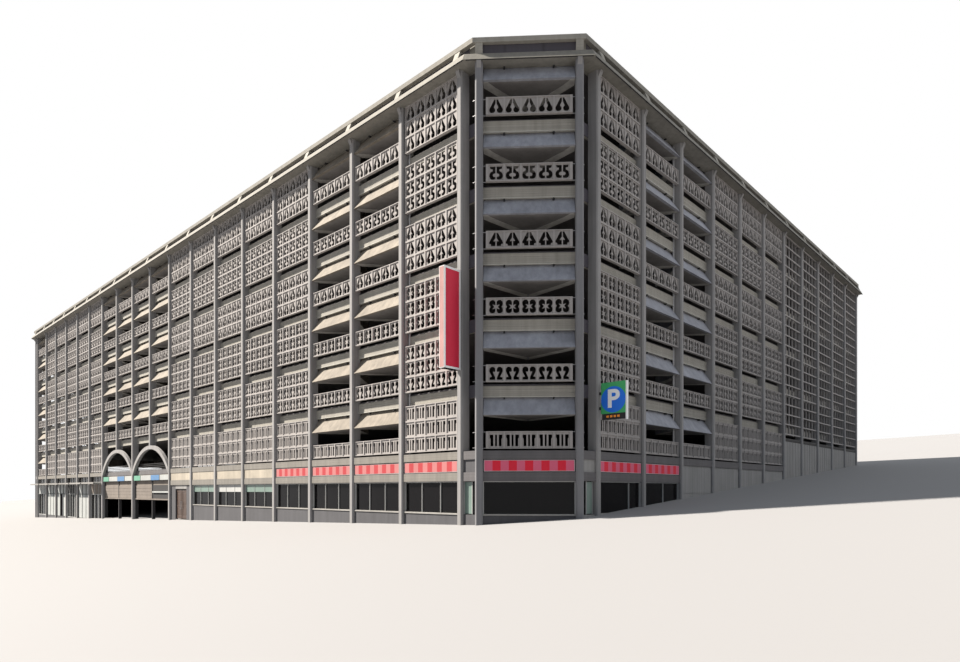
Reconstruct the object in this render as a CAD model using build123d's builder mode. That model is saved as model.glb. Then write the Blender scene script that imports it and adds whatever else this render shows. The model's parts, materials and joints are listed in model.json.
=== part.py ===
from build123d import *
from math import sqrt
import os

os.makedirs("parts", exist_ok=True)

# Multi storey car park on a street corner, a model at one tenth of real size.
# The right street's wall runs along X, the left street's wall along Y, and both
# near and far street corners are cut off, more along the left street than along
# the others. Height 0 is the lowest street level.

# Plan
bay = 405.0
left_bays = 18
right_bays = 11
left_corner_run = 456.0
right_corner_run = 424.0
left_cut = 358.0
right_cut = 302.0
party_wall_thickness = 30.0

# Heights
storey = 290.0
first_rail_top = 597.0
storeys = 6
rail_height = 75.0
screen_rows = 3
deck_drop = 100.0
deck_thickness = 35.0
spandrel_drop = 80.0
ground_slab_thickness = 30.0

# Columns
column_width = 32.0
column_depth = 50.0
column_bevel = 6.0
corner_column_width = 34.0

# Panels between the columns
panel_setback = 12.0
panel_thickness = 16.0
panel_cells = 5
panel_rib = 9.0
spandrel_thickness = 14.0
corner_panel_gap = 12.0
corner_rod = 4.0

# Hoods over the open bays
hood_clearance = 1.5
hood_lip_depth = 6.0
hood_top_depth = 61.0
hood_drop = 219.0
hood_reach = 266.0
hood_tip_width = 8.0

# Cornice and roof rail
cornice_overhang = 45.0
cornice_height = 35.0
cornice_lean = 18.0
cornice_corner_setback = 31.0
bracket_drop = 28.0
bracket_reach = 12.0
bracket_nose = 6.0
roof_rail_height = 21.0
roof_rail_width = 20.0
roof_rail_lift = 44.0
roof_rail_overhang = 10.0
roof_rail_corner_setback = 6.0
upstand_setback = 20.0
upstand_thickness = 12.0
post_depth = 12.0
post_inset = 2.0
roof_kerb_height = 60.0

# Lattice of the upper street
lattice_rows = 20
lattice_bar_height = 9.0
lattice_bar_depth = 8.0
lattice_fin_width = 7.0
lattice_fin_depth = 12.0

# Street storey
first_beam_bottom = 476.0
first_beam_height = 37.0
lower_beam_bottom = 381.0
lower_beam_height = 39.0
beam_setback = 8.0
beam_depth = 32.0
infill_setback = 14.0
infill_thickness = 20.0
shop_sill = 234.0
glass_setback = 24.0
glass_thickness = 3.0
sign_band_setback = 10.0
sign_band_depth = 8.0
foot_panel_gap = 27.0

# Portals of the car entrances, each two bays wide
portal_rise = 200.0
portal_spring = 500.0
portal_ring = 30.0
portal_depth = 24.0
portal_sill = 78.0
portal_head = 262.0
portal_beam_setback = 26.0
portal_beam_depth = 20.0
portal_header_setback = 28.0
portal_header_thickness = 16.0
portal_floor_reach = 512.0

# Shopfronts at the far end of the left street
canopy_bottom = 410.0
canopy_thickness = 8.0
canopy_reach = 70.0
front_sill = 52.0
front_post_width = 8.0

# Doors
door_gap = 5.0
door_play = 0.3
door_pin_radius = 1.5
door_pin_sides = 8
door_leaf_thickness = 5.0
entrance_leaf_width = 95.0
entrance_leaf_height = 225.0
entrance_sill = 118.0
shop_leaf_width = 82.0
shop_leaf_height = 215.0
shop_door_sill = 56.0

# Signs fixed to the corner piers
tall_sign_bottom = 870.0
tall_sign_height = 440.0
tall_sign_width = 105.0
tall_sign_thickness = 32.0
park_sign_bottom = 646.0
park_sign_height = 169.0
park_sign_width = 140.0
park_sign_thickness = 18.0

# What follows from them
length_x = right_corner_run + right_bays * bay + column_width / 2
length_y = 2 * left_corner_run + left_bays * bay
inner_end = length_x - party_wall_thickness
clear_bay = bay - column_width
corner_length = sqrt(left_cut**2 + right_cut**2)
corner_bay = corner_length - corner_column_width
corner_clear = corner_bay - corner_column_width
corner_panel_width = corner_clear - 2 * corner_panel_gap
spandrel_depth = column_depth + spandrel_thickness
deck_base = deck_drop + deck_thickness
screen_top = (screen_rows - 1) * rail_height
cornice_bottom = first_rail_top + (storeys - 1) * storey + screen_top
cornice_top = cornice_bottom + cornice_height
rail_bottom = cornice_top + roof_rail_lift
lattice_bottom = first_rail_top + screen_top
first_beam_top = first_beam_bottom + first_beam_height
lower_beam_top = lower_beam_bottom + lower_beam_height

left_open = [2, 3, 9, 10, 11, 12, 18]
left_screened = [1, 4, 5, 6, 7, 8, 13, 14, 15, 16, 17]
portal_bays = [9, 10, 11, 12]
portal_middles = [9, 11]
right_open = [2, 3]
right_screened = [1, 4, 5, 6]
right_lattice = [7, 8, 9, 10, 11]
back_open = [2, 3, 7, 8]
back_screened = [1, 4, 5, 6, 9, 10, 11]
right_shops = [1, 2]
right_closed = [3, 4, 5, 6]
levels = list(range(1, storeys + 1))

# The origin is the middle of the footprint at the lowest street level.
site = Vector(-length_x / 2, -length_y / 2, 0)
across = right_cut / corner_length
along = left_cut / corner_length

# Each wall has a plane on its columns' fronts: x to the right as seen from the
# street, y up and z out of the building.
right_wall = Plane(site, x_dir=(1, 0, 0), z_dir=(0, -1, 0))
left_wall = Plane(site + Vector(0, length_y, 0), x_dir=(0, -1, 0), z_dir=(-1, 0, 0))
back_wall = Plane(site + Vector(length_x, length_y, 0), x_dir=(-1, 0, 0), z_dir=(0, 1, 0))
near_corner = Plane(site + Vector(0, left_cut, 0), x_dir=(across, -along, 0), z_dir=(-along, -across, 0))
far_corner = Plane(
    site + Vector(right_cut, length_y, 0), x_dir=(-across, -along, 0), z_dir=(-along, across, 0)
)


def left_x(column):
    """Place of a column of the left street, counted from the near corner."""
    return length_y - left_corner_run - column * bay


def right_x(column):
    """Place of a column of the right street, counted from the near corner."""
    return right_corner_run + column * bay


def back_x(column):
    """Place of a column of the back street, counted from the far corner."""
    return length_x - right_corner_run - column * bay


def bay_centres(place, bays):
    """Middles of the given bays, the first bay being that beside the corner."""
    return [place(number - 0.5) for number in bays]


def rail_top(level):
    """Height of a storey's railing top. The level over the last one is the roof's."""
    return first_rail_top + (level - 1) * storey


def grid(xs, ys):
    """Every pairing of places along a wall and heights."""
    return [(x, y) for x in xs for y in ys]


def outline(offset, end=length_x, corner_setback=0.0):
    """Corners of the plan, moved outwards by offset everywhere but at the party wall.

    The cut corners are moved less than the streets by the corner setback."""
    corner_offset = (offset - corner_setback) * corner_length
    right_turn = right_cut - (corner_offset - offset * right_cut) / left_cut
    left_turn = left_cut - (corner_offset - offset * left_cut) / right_cut
    points = [
        (right_turn, -offset),
        (end, -offset),
        (end, length_y + offset),
        (right_turn, length_y + offset),
        (-offset, length_y - left_turn),
        (-offset, left_turn),
    ]
    return [(x + site.X, y + site.Y) for x, y in points]


def wall_strip(side, outer, inner, height, end=length_x, outer_setback=0.0, inner_setback=0.0):
    """Plan of one wall's straight length between two offsets, mitred at its corners."""
    outside = outline(outer, end, outer_setback)
    inside = outline(inner, end, inner_setback)
    after = (side + 1) % len(outside)
    with BuildSketch(Plane.XY.offset(height)) as strip:
        with BuildLine():
            Polyline(outside[side], outside[after], inside[after], inside[side], close=True)
        make_face()
    return strip.sketch


right_side, party_side, back_side, far_side, left_side, near_side = range(6)
streets = [right_side, back_side, left_side]
corners = [far_side, near_side]


def upright_box(width, height, front, back, bottom=0.0):
    """Box centred on its place along the wall, between two depths behind the columns' fronts."""
    with BuildPart() as block:
        with BuildSketch(Plane.XY.offset(-back)):
            with Locations((0, bottom)):
                Rectangle(width, height, align=(Align.CENTER, Align.MIN))
        extrude(amount=back - front)
    return block.part


def slot_block(height, front, back, bottom=0.0, hand=1, street="right"):
    """Block between a street's first column, where it stands, and the slanted side of a corner column."""
    if street == "right":
        reach, slant = right_corner_run - column_width / 2 - right_cut, left_cut / right_cut
    else:
        reach, slant = left_corner_run - column_width / 2 - left_cut, right_cut / left_cut
    with BuildPart() as block:
        with BuildSketch(Plane.XZ.offset(-bottom)):
            with BuildLine():
                Polyline(
                    (0, -front),
                    (0, -back),
                    (hand * (back * slant - reach), -back),
                    (hand * (front * slant - reach), -front),
                    close=True,
                )
            make_face()
        extrude(amount=-height)
    return block.part


def column_shaft(width, height, foot=0.0):
    """Column with bevelled front edges, standing on its foot."""
    half = width / 2
    with BuildPart() as shaft:
        with BuildSketch(Plane.XZ.offset(-foot)):
            with BuildLine():
                Polyline(
                    (-half, -column_depth),
                    (half, -column_depth),
                    (half, -column_bevel),
                    (half - column_bevel, 0),
                    (column_bevel - half, 0),
                    (-half, -column_bevel),
                    close=True,
                )
            make_face()
        extrude(amount=foot - height)
    return shaft.part


def hood(width):
    """Sloping hood and the wedge-shaped beam end behind it, hung from its storey's rail top."""
    half = width / 2 - hood_clearance
    with BuildPart() as shape:
        with BuildSketch(Plane.YZ):
            with BuildLine():
                Polyline(
                    (-deck_base, -hood_top_depth),
                    (-hood_drop, -hood_lip_depth),
                    (-hood_drop, -hood_reach),
                    (-deck_base, -hood_reach),
                    close=True,
                )
            make_face()
        extrude(amount=half, both=True)
        with BuildSketch(Plane.XZ):
            with BuildLine():
                Polyline(
                    (-half, -hood_lip_depth),
                    (half, -hood_lip_depth),
                    (half, -hood_top_depth),
                    (hood_tip_width / 2, -hood_reach),
                    (-hood_tip_width / 2, -hood_reach),
                    (-half, -hood_top_depth),
                    close=True,
                )
            make_face()
        extrude(amount=hood_drop, both=True, mode=Mode.INTERSECT)
    return shape.part


def pierced_panel(width, bottom, rows, cells, row_height):
    """Panel with a grid of upright openings between its ribs."""
    cell = width / cells
    with BuildPart() as panel:
        with BuildSketch(Plane.XY.offset(-panel_setback - panel_thickness)):
            with Locations((0, bottom + rows * row_height / 2)):
                Rectangle(width, rows * row_height)
                with GridLocations(cell, row_height, cells, rows):
                    Rectangle(cell - panel_rib, row_height - panel_rib, mode=Mode.SUBTRACT)
        extrude(amount=panel_thickness)
    return panel.part


def corner_panel():
    """Railing of a cut corner, narrower than its bay and held by two rods behind its edges."""
    back = panel_setback + panel_thickness
    with BuildPart() as panel:
        add(pierced_panel(corner_panel_width, -rail_height, 1, panel_cells, rail_height))
        with Locations((0, -corner_rod), (0, -rail_height)):
            add(upright_box(corner_clear, corner_rod, back, back + corner_rod))
    return panel.part


def closed_panel(width, bottom, height):
    """Panel of the farther bays, whose cells are too many to cut."""
    back = panel_setback + panel_thickness
    return upright_box(width, height, panel_setback, back, bottom)


# Ground slab, decks and roof
deck_levels = levels + [storeys + 1]
with BuildPart() as ground_slab:
    with BuildSketch():
        with BuildLine():
            Polyline(*outline(-spandrel_depth, inner_end), close=True)
        make_face()
    extrude(amount=ground_slab_thickness)

with BuildPart() as parking_decks:
    for level in deck_levels:
        with BuildSketch(Plane.XY.offset(rail_top(level) - deck_base)):
            with BuildLine():
                Polyline(*outline(-spandrel_depth, inner_end), close=True)
            make_face()
        extrude(amount=deck_thickness)

roof_bottom = rail_top(storeys + 1) - deck_base
wall_top = roof_bottom + roof_kerb_height
with BuildPart() as party_wall:
    with BuildSketch():
        with Locations((length_x / 2 - party_wall_thickness / 2, 0)):
            Rectangle(party_wall_thickness, length_y - 2 * column_depth)
    extrude(amount=wall_top)


def spandrels(sides):
    """Edge beams of the decks along the given walls, and the kerb of the roof."""
    with BuildPart() as beams:
        for side in sides:
            for level in deck_levels:
                bottom = rail_top(level) - deck_base
                height = deck_base - spandrel_drop if level <= storeys else roof_kerb_height
                strip = wall_strip(side, -column_depth, -spandrel_depth, bottom, inner_end)
                extrude(strip, amount=height)
    return beams.part


with BuildPart() as spandrels_streets:
    add(spandrels(streets))

with BuildPart() as spandrels_corners:
    add(spandrels(corners))

# Columns
column_top = cornice_bottom
full_column = column_shaft(column_width, column_top)
corner_column = column_shaft(corner_column_width, column_top)
portal_crown = portal_spring + portal_rise
short_column = column_shaft(column_width, column_top, portal_crown + portal_ring / 2)

left_columns = list(range(left_bays + 1))
right_columns = list(range(right_bays + 1))
corner_places = [(corner_column_width / 2, 0), (corner_length - corner_column_width / 2, 0)]

with BuildPart() as columns_left:
    with Locations(left_wall):
        with Locations([(left_x(i), 0) for i in left_columns if i not in portal_middles]):
            add(full_column)
        with Locations([(left_x(i), 0) for i in portal_middles]):
            add(short_column)

with BuildPart() as columns_right:
    with Locations(right_wall):
        with Locations([(right_x(i), 0) for i in right_columns]):
            add(full_column)

with BuildPart() as columns_back:
    with Locations(back_wall):
        with Locations([(back_x(i), 0) for i in right_columns]):
            add(full_column)

with BuildPart() as columns_corners:
    with Locations(near_corner, far_corner):
        with Locations(corner_places):
            add(corner_column)

# Railings of the open bays and screens of the others
railing = closed_panel(clear_bay, -rail_height, rail_height)
screen = closed_panel(clear_bay, -rail_height, screen_rows * rail_height)
pierced_screen = pierced_panel(clear_bay, -rail_height, screen_rows, panel_cells, rail_height)
corner_railing = corner_panel()
far_corner_railing = closed_panel(corner_clear, -rail_height, rail_height)

all_rails = [rail_top(level) for level in levels]
upper_rails = all_rails[1:]
corner_middle = corner_length / 2
left_plain_open = [number for number in left_open if number not in portal_bays]

with BuildPart() as railings_left:
    with Locations(left_wall):
        with Locations(grid(bay_centres(left_x, left_plain_open), all_rails)):
            add(railing)
        with Locations(grid(bay_centres(left_x, portal_bays), upper_rails)):
            add(railing)

with BuildPart() as railings_right:
    with Locations(right_wall):
        with Locations(grid(bay_centres(right_x, right_open), all_rails)):
            add(railing)

with BuildPart() as railings_back:
    with Locations(back_wall):
        with Locations(grid(bay_centres(back_x, back_open), all_rails)):
            add(railing)

with BuildPart() as railings_corners:
    with Locations(near_corner):
        with Locations(grid([corner_middle], all_rails)):
            add(corner_railing)
    with Locations(far_corner):
        with Locations(grid([corner_middle], all_rails)):
            add(far_corner_railing)

with BuildPart() as screens_left:
    with Locations(left_wall):
        with Locations(grid(bay_centres(left_x, left_screened[:1]), all_rails)):
            add(pierced_screen)
        with Locations(grid(bay_centres(left_x, left_screened[1:]), all_rails)):
            add(screen)

with BuildPart() as screens_right:
    with Locations(right_wall):
        with Locations(grid(bay_centres(right_x, right_screened[:1]), all_rails)):
            add(pierced_screen)
        with Locations(grid(bay_centres(right_x, right_screened[1:]), all_rails)):
            add(screen)

with BuildPart() as screens_back:
    with Locations(back_wall):
        with Locations(grid(bay_centres(back_x, back_screened), all_rails)):
            add(screen)

# Hoods, one over each open storey of each open bay
hood_tops = [rail_top(level + 1) for level in levels]
bay_hood = hood(clear_bay)
corner_hood = hood(corner_clear)

with BuildPart() as hoods_left:
    with Locations(left_wall):
        with Locations(grid(bay_centres(left_x, left_plain_open), hood_tops)):
            add(bay_hood)
        with Locations(grid(bay_centres(left_x, portal_bays), hood_tops[1:])):
            add(bay_hood)

with BuildPart() as hoods_right:
    with Locations(right_wall):
        with Locations(grid(bay_centres(right_x, right_open), hood_tops)):
            add(bay_hood)

with BuildPart() as hoods_back:
    with Locations(back_wall):
        with Locations(grid(bay_centres(back_x, back_open), hood_tops)):
            add(bay_hood)

with BuildPart() as hoods_corners:
    with Locations(near_corner, far_corner):
        with Locations(grid([corner_middle], hood_tops)):
            add(corner_hood)

# Lattice of the upper part of the right street
lattice_height = cornice_bottom - lattice_bottom
bar_pitch = (lattice_height - lattice_bar_height) / lattice_rows
lattice_centres = bay_centres(right_x, right_lattice)
bar_back = panel_setback + lattice_bar_depth
lattice_bar = upright_box(clear_bay, lattice_bar_height, panel_setback, bar_back)
fin_back = bar_back + lattice_fin_depth
lattice_fin = upright_box(lattice_fin_width, lattice_height, bar_back, fin_back)
fin_pitch = (clear_bay - lattice_fin_width) / panel_cells
fin_offsets = [(i - panel_cells / 2) * fin_pitch for i in range(panel_cells + 1)]
fin_places = [centre + offset for centre in lattice_centres for offset in fin_offsets]
bar_heights = [lattice_bottom + i * bar_pitch for i in range(lattice_rows + 1)]

with BuildPart() as lattice_bars:
    with Locations(right_wall):
        with Locations(grid(lattice_centres, bar_heights)):
            add(lattice_bar)

with BuildPart() as lattice_fins:
    with Locations(right_wall):
        with Locations(grid(fin_places, [lattice_bottom])):
            add(lattice_fin)

# Cornice, its brackets, and the rail round the roof
cornice_head = cornice_overhang - cornice_lean
upstand_back = upstand_setback + upstand_thickness


def cornice(sides):
    """Leaning cornice along the given walls, and the upstand behind the roof rail."""
    setback = cornice_corner_setback
    with BuildPart() as beams:
        for side in sides:
            foot = wall_strip(side, cornice_overhang, -column_depth, cornice_bottom, length_x, setback)
            head = wall_strip(side, cornice_head, -column_depth, cornice_top, length_x, setback)
            loft([foot, head], ruled=True)
            upstand = wall_strip(side, -upstand_setback, -upstand_back, cornice_top)
            extrude(upstand, amount=roof_rail_lift + roof_rail_height)
    return beams.part


def roof_rail(sides):
    """Rail that stands on the slanted posts over the cornice."""
    setback = roof_rail_corner_setback
    inner = roof_rail_overhang - roof_rail_width
    with BuildPart() as beams:
        for side in sides:
            strip = wall_strip(side, roof_rail_overhang, inner, rail_bottom, length_x, setback, setback)
            extrude(strip, amount=roof_rail_height)
    return beams.part


def slanted_post(width, foot_front, head_front):
    """Post that leans from the cornice to the underside of the roof rail."""
    with BuildPart() as post:
        with BuildSketch(Plane.YZ):
            with BuildLine():
                Polyline(
                    (cornice_top, foot_front),
                    (cornice_top, foot_front - post_depth),
                    (rail_bottom, head_front - post_depth),
                    (rail_bottom, head_front),
                    close=True,
                )
            make_face()
        extrude(amount=width / 2, both=True)
    return post.part


with BuildPart() as cornice_streets:
    add(cornice(streets))

with BuildPart() as cornice_corners:
    add(cornice(corners))

with BuildPart() as roof_rail_streets:
    add(roof_rail(streets))

with BuildPart() as roof_rail_corners:
    add(roof_rail(corners))

with BuildPart() as bracket:
    with BuildSketch(Plane.YZ):
        with BuildLine():
            Polyline(
                (cornice_bottom - bracket_drop, 0),
                (cornice_bottom, 0),
                (cornice_bottom, bracket_reach),
                (cornice_bottom - bracket_nose, bracket_reach),
                close=True,
            )
        make_face()
    extrude(amount=column_width / 2 - column_bevel, both=True)


def at_every_column(piece, corner_piece):
    """Copies of a piece on the line of every column, and of another on the corners' columns."""
    with BuildPart() as row:
        with Locations(left_wall):
            with Locations([(left_x(i), 0) for i in left_columns]):
                add(piece)
        with Locations(right_wall):
            with Locations([(right_x(i), 0) for i in right_columns]):
                add(piece)
        with Locations(back_wall):
            with Locations([(back_x(i), 0) for i in right_columns]):
                add(piece)
        with Locations(near_corner, far_corner):
            with Locations(corner_places):
                add(corner_piece)
    return row.part


post_foot = cornice_head - post_inset
post_head = roof_rail_overhang - post_inset
post = slanted_post(column_width, post_foot, post_head)
corner_post = slanted_post(
    column_width, post_foot - cornice_corner_setback, post_head - roof_rail_corner_setback
)

with BuildPart() as rail_posts:
    add(at_every_column(post, corner_post))

with BuildPart() as column_brackets:
    add(at_every_column(bracket.part, bracket.part))

# Street storey: beams
portal_width = 2 * bay - column_width
portal_centres = [left_x(i) for i in portal_middles]
left_plain_street = [number for number in range(1, left_bays + 1) if number not in portal_bays]
left_fronts = [13, 14, 15, 16, 17, 18]
shop_door_bay = 15
glazed_fronts = [number for number in left_fronts if number != shop_door_bay]
left_with_lower_beam = [1, 2, 3, 4, 5, 6, 7, 8]
right_street_bays = [1, 2, 3, 4, 5, 6]
back_street_bays = list(range(1, right_bays + 1))
beam_back = beam_setback + beam_depth
portal_beam_back = portal_beam_setback + portal_beam_depth

# The slots beside the cut corners are closed by blocks, one of each hand.
left_slot = (left_x(0) + column_width / 2, 0)
right_slot = (right_x(0) - column_width / 2, 0)
far_left_slot = (left_corner_run - column_width / 2, 0)
far_back_slot = (back_x(0) + column_width / 2, 0)
slot_places = [
    (left_wall, left_slot, -1, "left"),
    (right_wall, right_slot, 1, "right"),
    (left_wall, far_left_slot, 1, "left"),
    (back_wall, far_back_slot, -1, "right"),
]

first_beam = upright_box(clear_bay, first_beam_height, beam_setback, beam_back, first_beam_bottom)
corner_first_beam = upright_box(corner_clear, first_beam_height, beam_setback, beam_back, first_beam_bottom)
portal_beam = upright_box(
    portal_width, first_beam_height, portal_beam_setback, portal_beam_back, first_beam_bottom
)
lower_beam = upright_box(clear_bay, lower_beam_height, beam_setback, beam_back, lower_beam_bottom)
corner_lower_beam = upright_box(corner_clear, lower_beam_height, beam_setback, beam_back, lower_beam_bottom)

with BuildPart() as first_floor_beams:
    with Locations(left_wall):
        with Locations(grid(bay_centres(left_x, left_plain_street), [0])):
            add(first_beam)
        with Locations(grid(portal_centres, [0])):
            add(portal_beam)
    with Locations(right_wall):
        with Locations(grid(bay_centres(right_x, right_street_bays), [0])):
            add(first_beam)
    with Locations(back_wall):
        with Locations(grid(bay_centres(back_x, back_street_bays), [0])):
            add(first_beam)
    with Locations(near_corner, far_corner):
        with Locations((corner_middle, 0)):
            add(corner_first_beam)
    for wall, place, hand, street in slot_places:
        with Locations(wall):
            with Locations(place):
                add(slot_block(first_beam_height, beam_setback, beam_back, first_beam_bottom, hand, street))

with BuildPart() as shop_beams:
    with Locations(left_wall):
        with Locations(grid(bay_centres(left_x, left_with_lower_beam), [0])):
            add(lower_beam)
    with Locations(right_wall):
        with Locations(grid(bay_centres(right_x, right_shops), [0])):
            add(lower_beam)
    with Locations(near_corner):
        with Locations((corner_middle, 0)):
            add(corner_lower_beam)
    for wall, place, hand, street in slot_places[:2]:
        with Locations(wall):
            with Locations(place):
                add(slot_block(lower_beam_height, beam_setback, beam_back, lower_beam_bottom, hand, street))

# Street storey: boards between the beams, striped over the shops
board_height = first_beam_bottom - lower_beam_top
board_back = sign_band_setback + sign_band_depth
sign_board = upright_box(clear_bay, board_height, sign_band_setback, board_back, lower_beam_top)
corner_sign_board = upright_box(corner_clear, board_height, sign_band_setback, board_back, lower_beam_top)

with BuildPart() as sign_boards:
    with Locations(left_wall):
        with Locations(grid(bay_centres(left_x, left_with_lower_beam), [0])):
            add(sign_board)
    with Locations(right_wall):
        with Locations(grid(bay_centres(right_x, right_shops), [0])):
            add(sign_board)
    with Locations(near_corner):
        with Locations((corner_middle, 0)):
            add(corner_sign_board)

# Street storey: walls under the windows and closed bays
infill_back = infill_setback + infill_thickness
left_windows = [1, 2, 3, 4, 5, 6, 7]
entrance_bay = 8
leaf_opening = 2 * entrance_leaf_width + 3 * door_gap
shop_opening = shop_leaf_width + 2 * door_gap
entrance_head = entrance_sill + entrance_leaf_height + 2 * door_gap
shop_door_head = shop_door_sill + shop_leaf_height + 2 * door_gap

window_wall = upright_box(clear_bay, shop_sill, infill_setback, infill_back)
corner_window_wall = upright_box(corner_clear, shop_sill, infill_setback, infill_back)
closed_wall = upright_box(clear_bay, first_beam_bottom, infill_setback, infill_back)
corner_closed_wall = upright_box(corner_clear, first_beam_bottom, infill_setback, infill_back)
front_wall = upright_box(clear_bay, front_sill, infill_setback, infill_back)
entrance_side_width = (clear_bay - leaf_opening) / 2
entrance_side = upright_box(entrance_side_width, lower_beam_bottom, infill_setback, infill_back)
entrance_offset = (leaf_opening + entrance_side_width) / 2
entrance_middle = bay_centres(left_x, [entrance_bay])[0]
foot_panel = upright_box(clear_bay, lattice_bottom - foot_panel_gap, infill_setback, infill_back)



def slot_wall(height, bottom, hand, street):
    """Wall of a slot, in line with the walls of the bays."""
    return slot_block(height, infill_setback, infill_back, bottom, hand, street)



with BuildPart() as street_walls_left:
    with Locations(left_wall):
        with Locations(left_slot):
            add(slot_wall(shop_sill, 0, -1, "left"))
            add(slot_wall(board_height, lower_beam_top, -1, "left"))
        with Locations(far_left_slot):
            add(slot_wall(first_beam_bottom, 0, 1, "left"))
        with Locations(grid(bay_centres(left_x, left_windows), [0])):
            add(window_wall)
        with Locations(grid([entrance_middle - entrance_offset, entrance_middle + entrance_offset], [0])):
            add(entrance_side)
        with Locations(grid(bay_centres(left_x, left_fronts), [0])):
            add(front_wall)

with BuildPart() as street_walls_right:
    with Locations(right_wall):
        with Locations(right_slot):
            add(slot_wall(shop_sill, 0, 1, "right"))
            add(slot_wall(board_height, lower_beam_top, 1, "right"))
        with Locations(grid(bay_centres(right_x, right_shops), [0])):
            add(window_wall)
        with Locations(grid(bay_centres(right_x, right_closed), [0])):
            add(closed_wall)
        with Locations(grid(lattice_centres, [0])):
            add(foot_panel)

with BuildPart() as street_walls_back:
    with Locations(back_wall):
        with Locations(far_back_slot):
            add(slot_wall(first_beam_bottom, 0, -1, "right"))
        with Locations(grid(bay_centres(back_x, back_street_bays), [0])):
            add(closed_wall)

with BuildPart() as street_walls_corners:
    with Locations(near_corner):
        with Locations((corner_middle, 0)):
            add(corner_window_wall)
    with Locations(far_corner):
        with Locations((corner_middle, 0)):
            add(corner_closed_wall)

with BuildPart() as entrance_surround:
    with Locations(left_wall):
        with Locations((entrance_middle, 0)):
            add(upright_box(leaf_opening, entrance_sill, infill_setback, infill_back))
            add(
                upright_box(
                    leaf_opening, lower_beam_bottom - entrance_head, infill_setback, infill_back, entrance_head
                )
            )

# Car entrances: an arch over two bays carries the column between them
ring_radius = ((portal_width / 2) ** 2 + portal_rise**2) / (2 * portal_rise)
with BuildPart() as arch:
    with BuildSketch(Plane.XY.offset(-portal_depth)):
        with Locations((0, portal_crown - ring_radius)):
            Circle(ring_radius + portal_ring / 2)
            Circle(ring_radius - portal_ring / 2, mode=Mode.SUBTRACT)
        with Locations((0, portal_crown)):
            Rectangle(portal_width, 2 * ring_radius, mode=Mode.INTERSECT)
        with Locations((0, portal_spring - portal_ring)):
            Rectangle(
                portal_width, 4 * ring_radius, align=(Align.CENTER, Align.MAX), mode=Mode.SUBTRACT
            )
    extrude(amount=portal_depth)

with BuildPart() as portal_arches:
    with Locations(left_wall):
        with Locations(grid(portal_centres, [0])):
            add(arch.part)

portal_header_back = portal_header_setback + portal_header_thickness
portal_header = upright_box(
    portal_width, first_beam_bottom - portal_head, portal_header_setback, portal_header_back, portal_head
)
with BuildPart() as portal_headers:
    with Locations(left_wall):
        with Locations(grid(portal_centres, [0])):
            add(portal_header)

portal_sill_wall = upright_box(portal_width, portal_sill, infill_setback, spandrel_depth)
with BuildPart() as portal_sills:
    with Locations(left_wall):
        with Locations(grid(portal_centres, [0])):
            add(portal_sill_wall)

ramp_height = portal_sill - ground_slab_thickness
portal_ramp = upright_box(
    portal_width, ramp_height, spandrel_depth, portal_floor_reach, ground_slab_thickness
)
with BuildPart() as portal_floors:
    with Locations(left_wall):
        with Locations(grid(portal_centres, [0])):
            add(portal_ramp)

# Shop windows, and the shopfronts under their canopies
glass_back = glass_setback + glass_thickness
window_height = lower_beam_bottom - shop_sill
shop_glass = upright_box(clear_bay, window_height, glass_setback, glass_back, shop_sill)
corner_glass = upright_box(corner_clear, window_height, glass_setback, glass_back, shop_sill)
front_glass = upright_box(clear_bay, canopy_bottom - front_sill, glass_setback, glass_back, front_sill)
canopy_top = canopy_bottom + canopy_thickness
clerestory = upright_box(clear_bay, first_beam_bottom - canopy_top, glass_setback, glass_back, canopy_top)
door_bay_middle = bay_centres(left_x, [shop_door_bay])[0]
door_edge = clear_bay / 2
shop_door_middle = door_bay_middle + door_edge - shop_opening / 2
door_glass_width = clear_bay - shop_opening - front_post_width
door_side_glass = upright_box(
    door_glass_width, canopy_bottom - front_sill, glass_setback, glass_back, front_sill
)
door_top_glass = upright_box(
    shop_opening, canopy_bottom - shop_door_head, glass_setback, glass_back, shop_door_head
)


with BuildPart() as shop_windows_left:
    with Locations(left_wall):
        with Locations(left_slot):
            add(slot_block(window_height, glass_setback, glass_back, shop_sill, -1, "left"))
        with Locations(grid(bay_centres(left_x, left_windows), [0])):
            add(shop_glass)
        with Locations(grid(bay_centres(left_x, glazed_fronts), [0])):
            add(front_glass)
        with Locations((door_bay_middle - door_edge + door_glass_width / 2, 0)):
            add(door_side_glass)
        with Locations((shop_door_middle, 0)):
            add(door_top_glass)
        with Locations(grid(bay_centres(left_x, left_fronts), [0])):
            add(clerestory)

with BuildPart() as shop_windows_right:
    with Locations(right_wall):
        with Locations(right_slot):
            add(slot_block(window_height, glass_setback, glass_back, shop_sill, 1, "right"))
        with Locations(grid(bay_centres(right_x, right_shops), [0])):
            add(shop_glass)
    with Locations(near_corner):
        with Locations((corner_middle, 0)):
            add(corner_glass)

with BuildPart() as shop_door_surround:
    with Locations(left_wall):
        with Locations((shop_door_middle - (shop_opening + front_post_width) / 2, front_sill)):
            add(upright_box(front_post_width, canopy_bottom - front_sill, infill_setback, infill_back))
        with Locations((shop_door_middle, front_sill)):
            add(upright_box(shop_opening, shop_door_sill - front_sill, infill_setback, infill_back))

canopy_plate = upright_box(clear_bay, canopy_thickness, -canopy_reach, glass_back, canopy_bottom)
with BuildPart() as canopies:
    with Locations(left_wall):
        with Locations(grid(bay_centres(left_x, left_fronts), [0])):
            add(canopy_plate)


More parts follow.
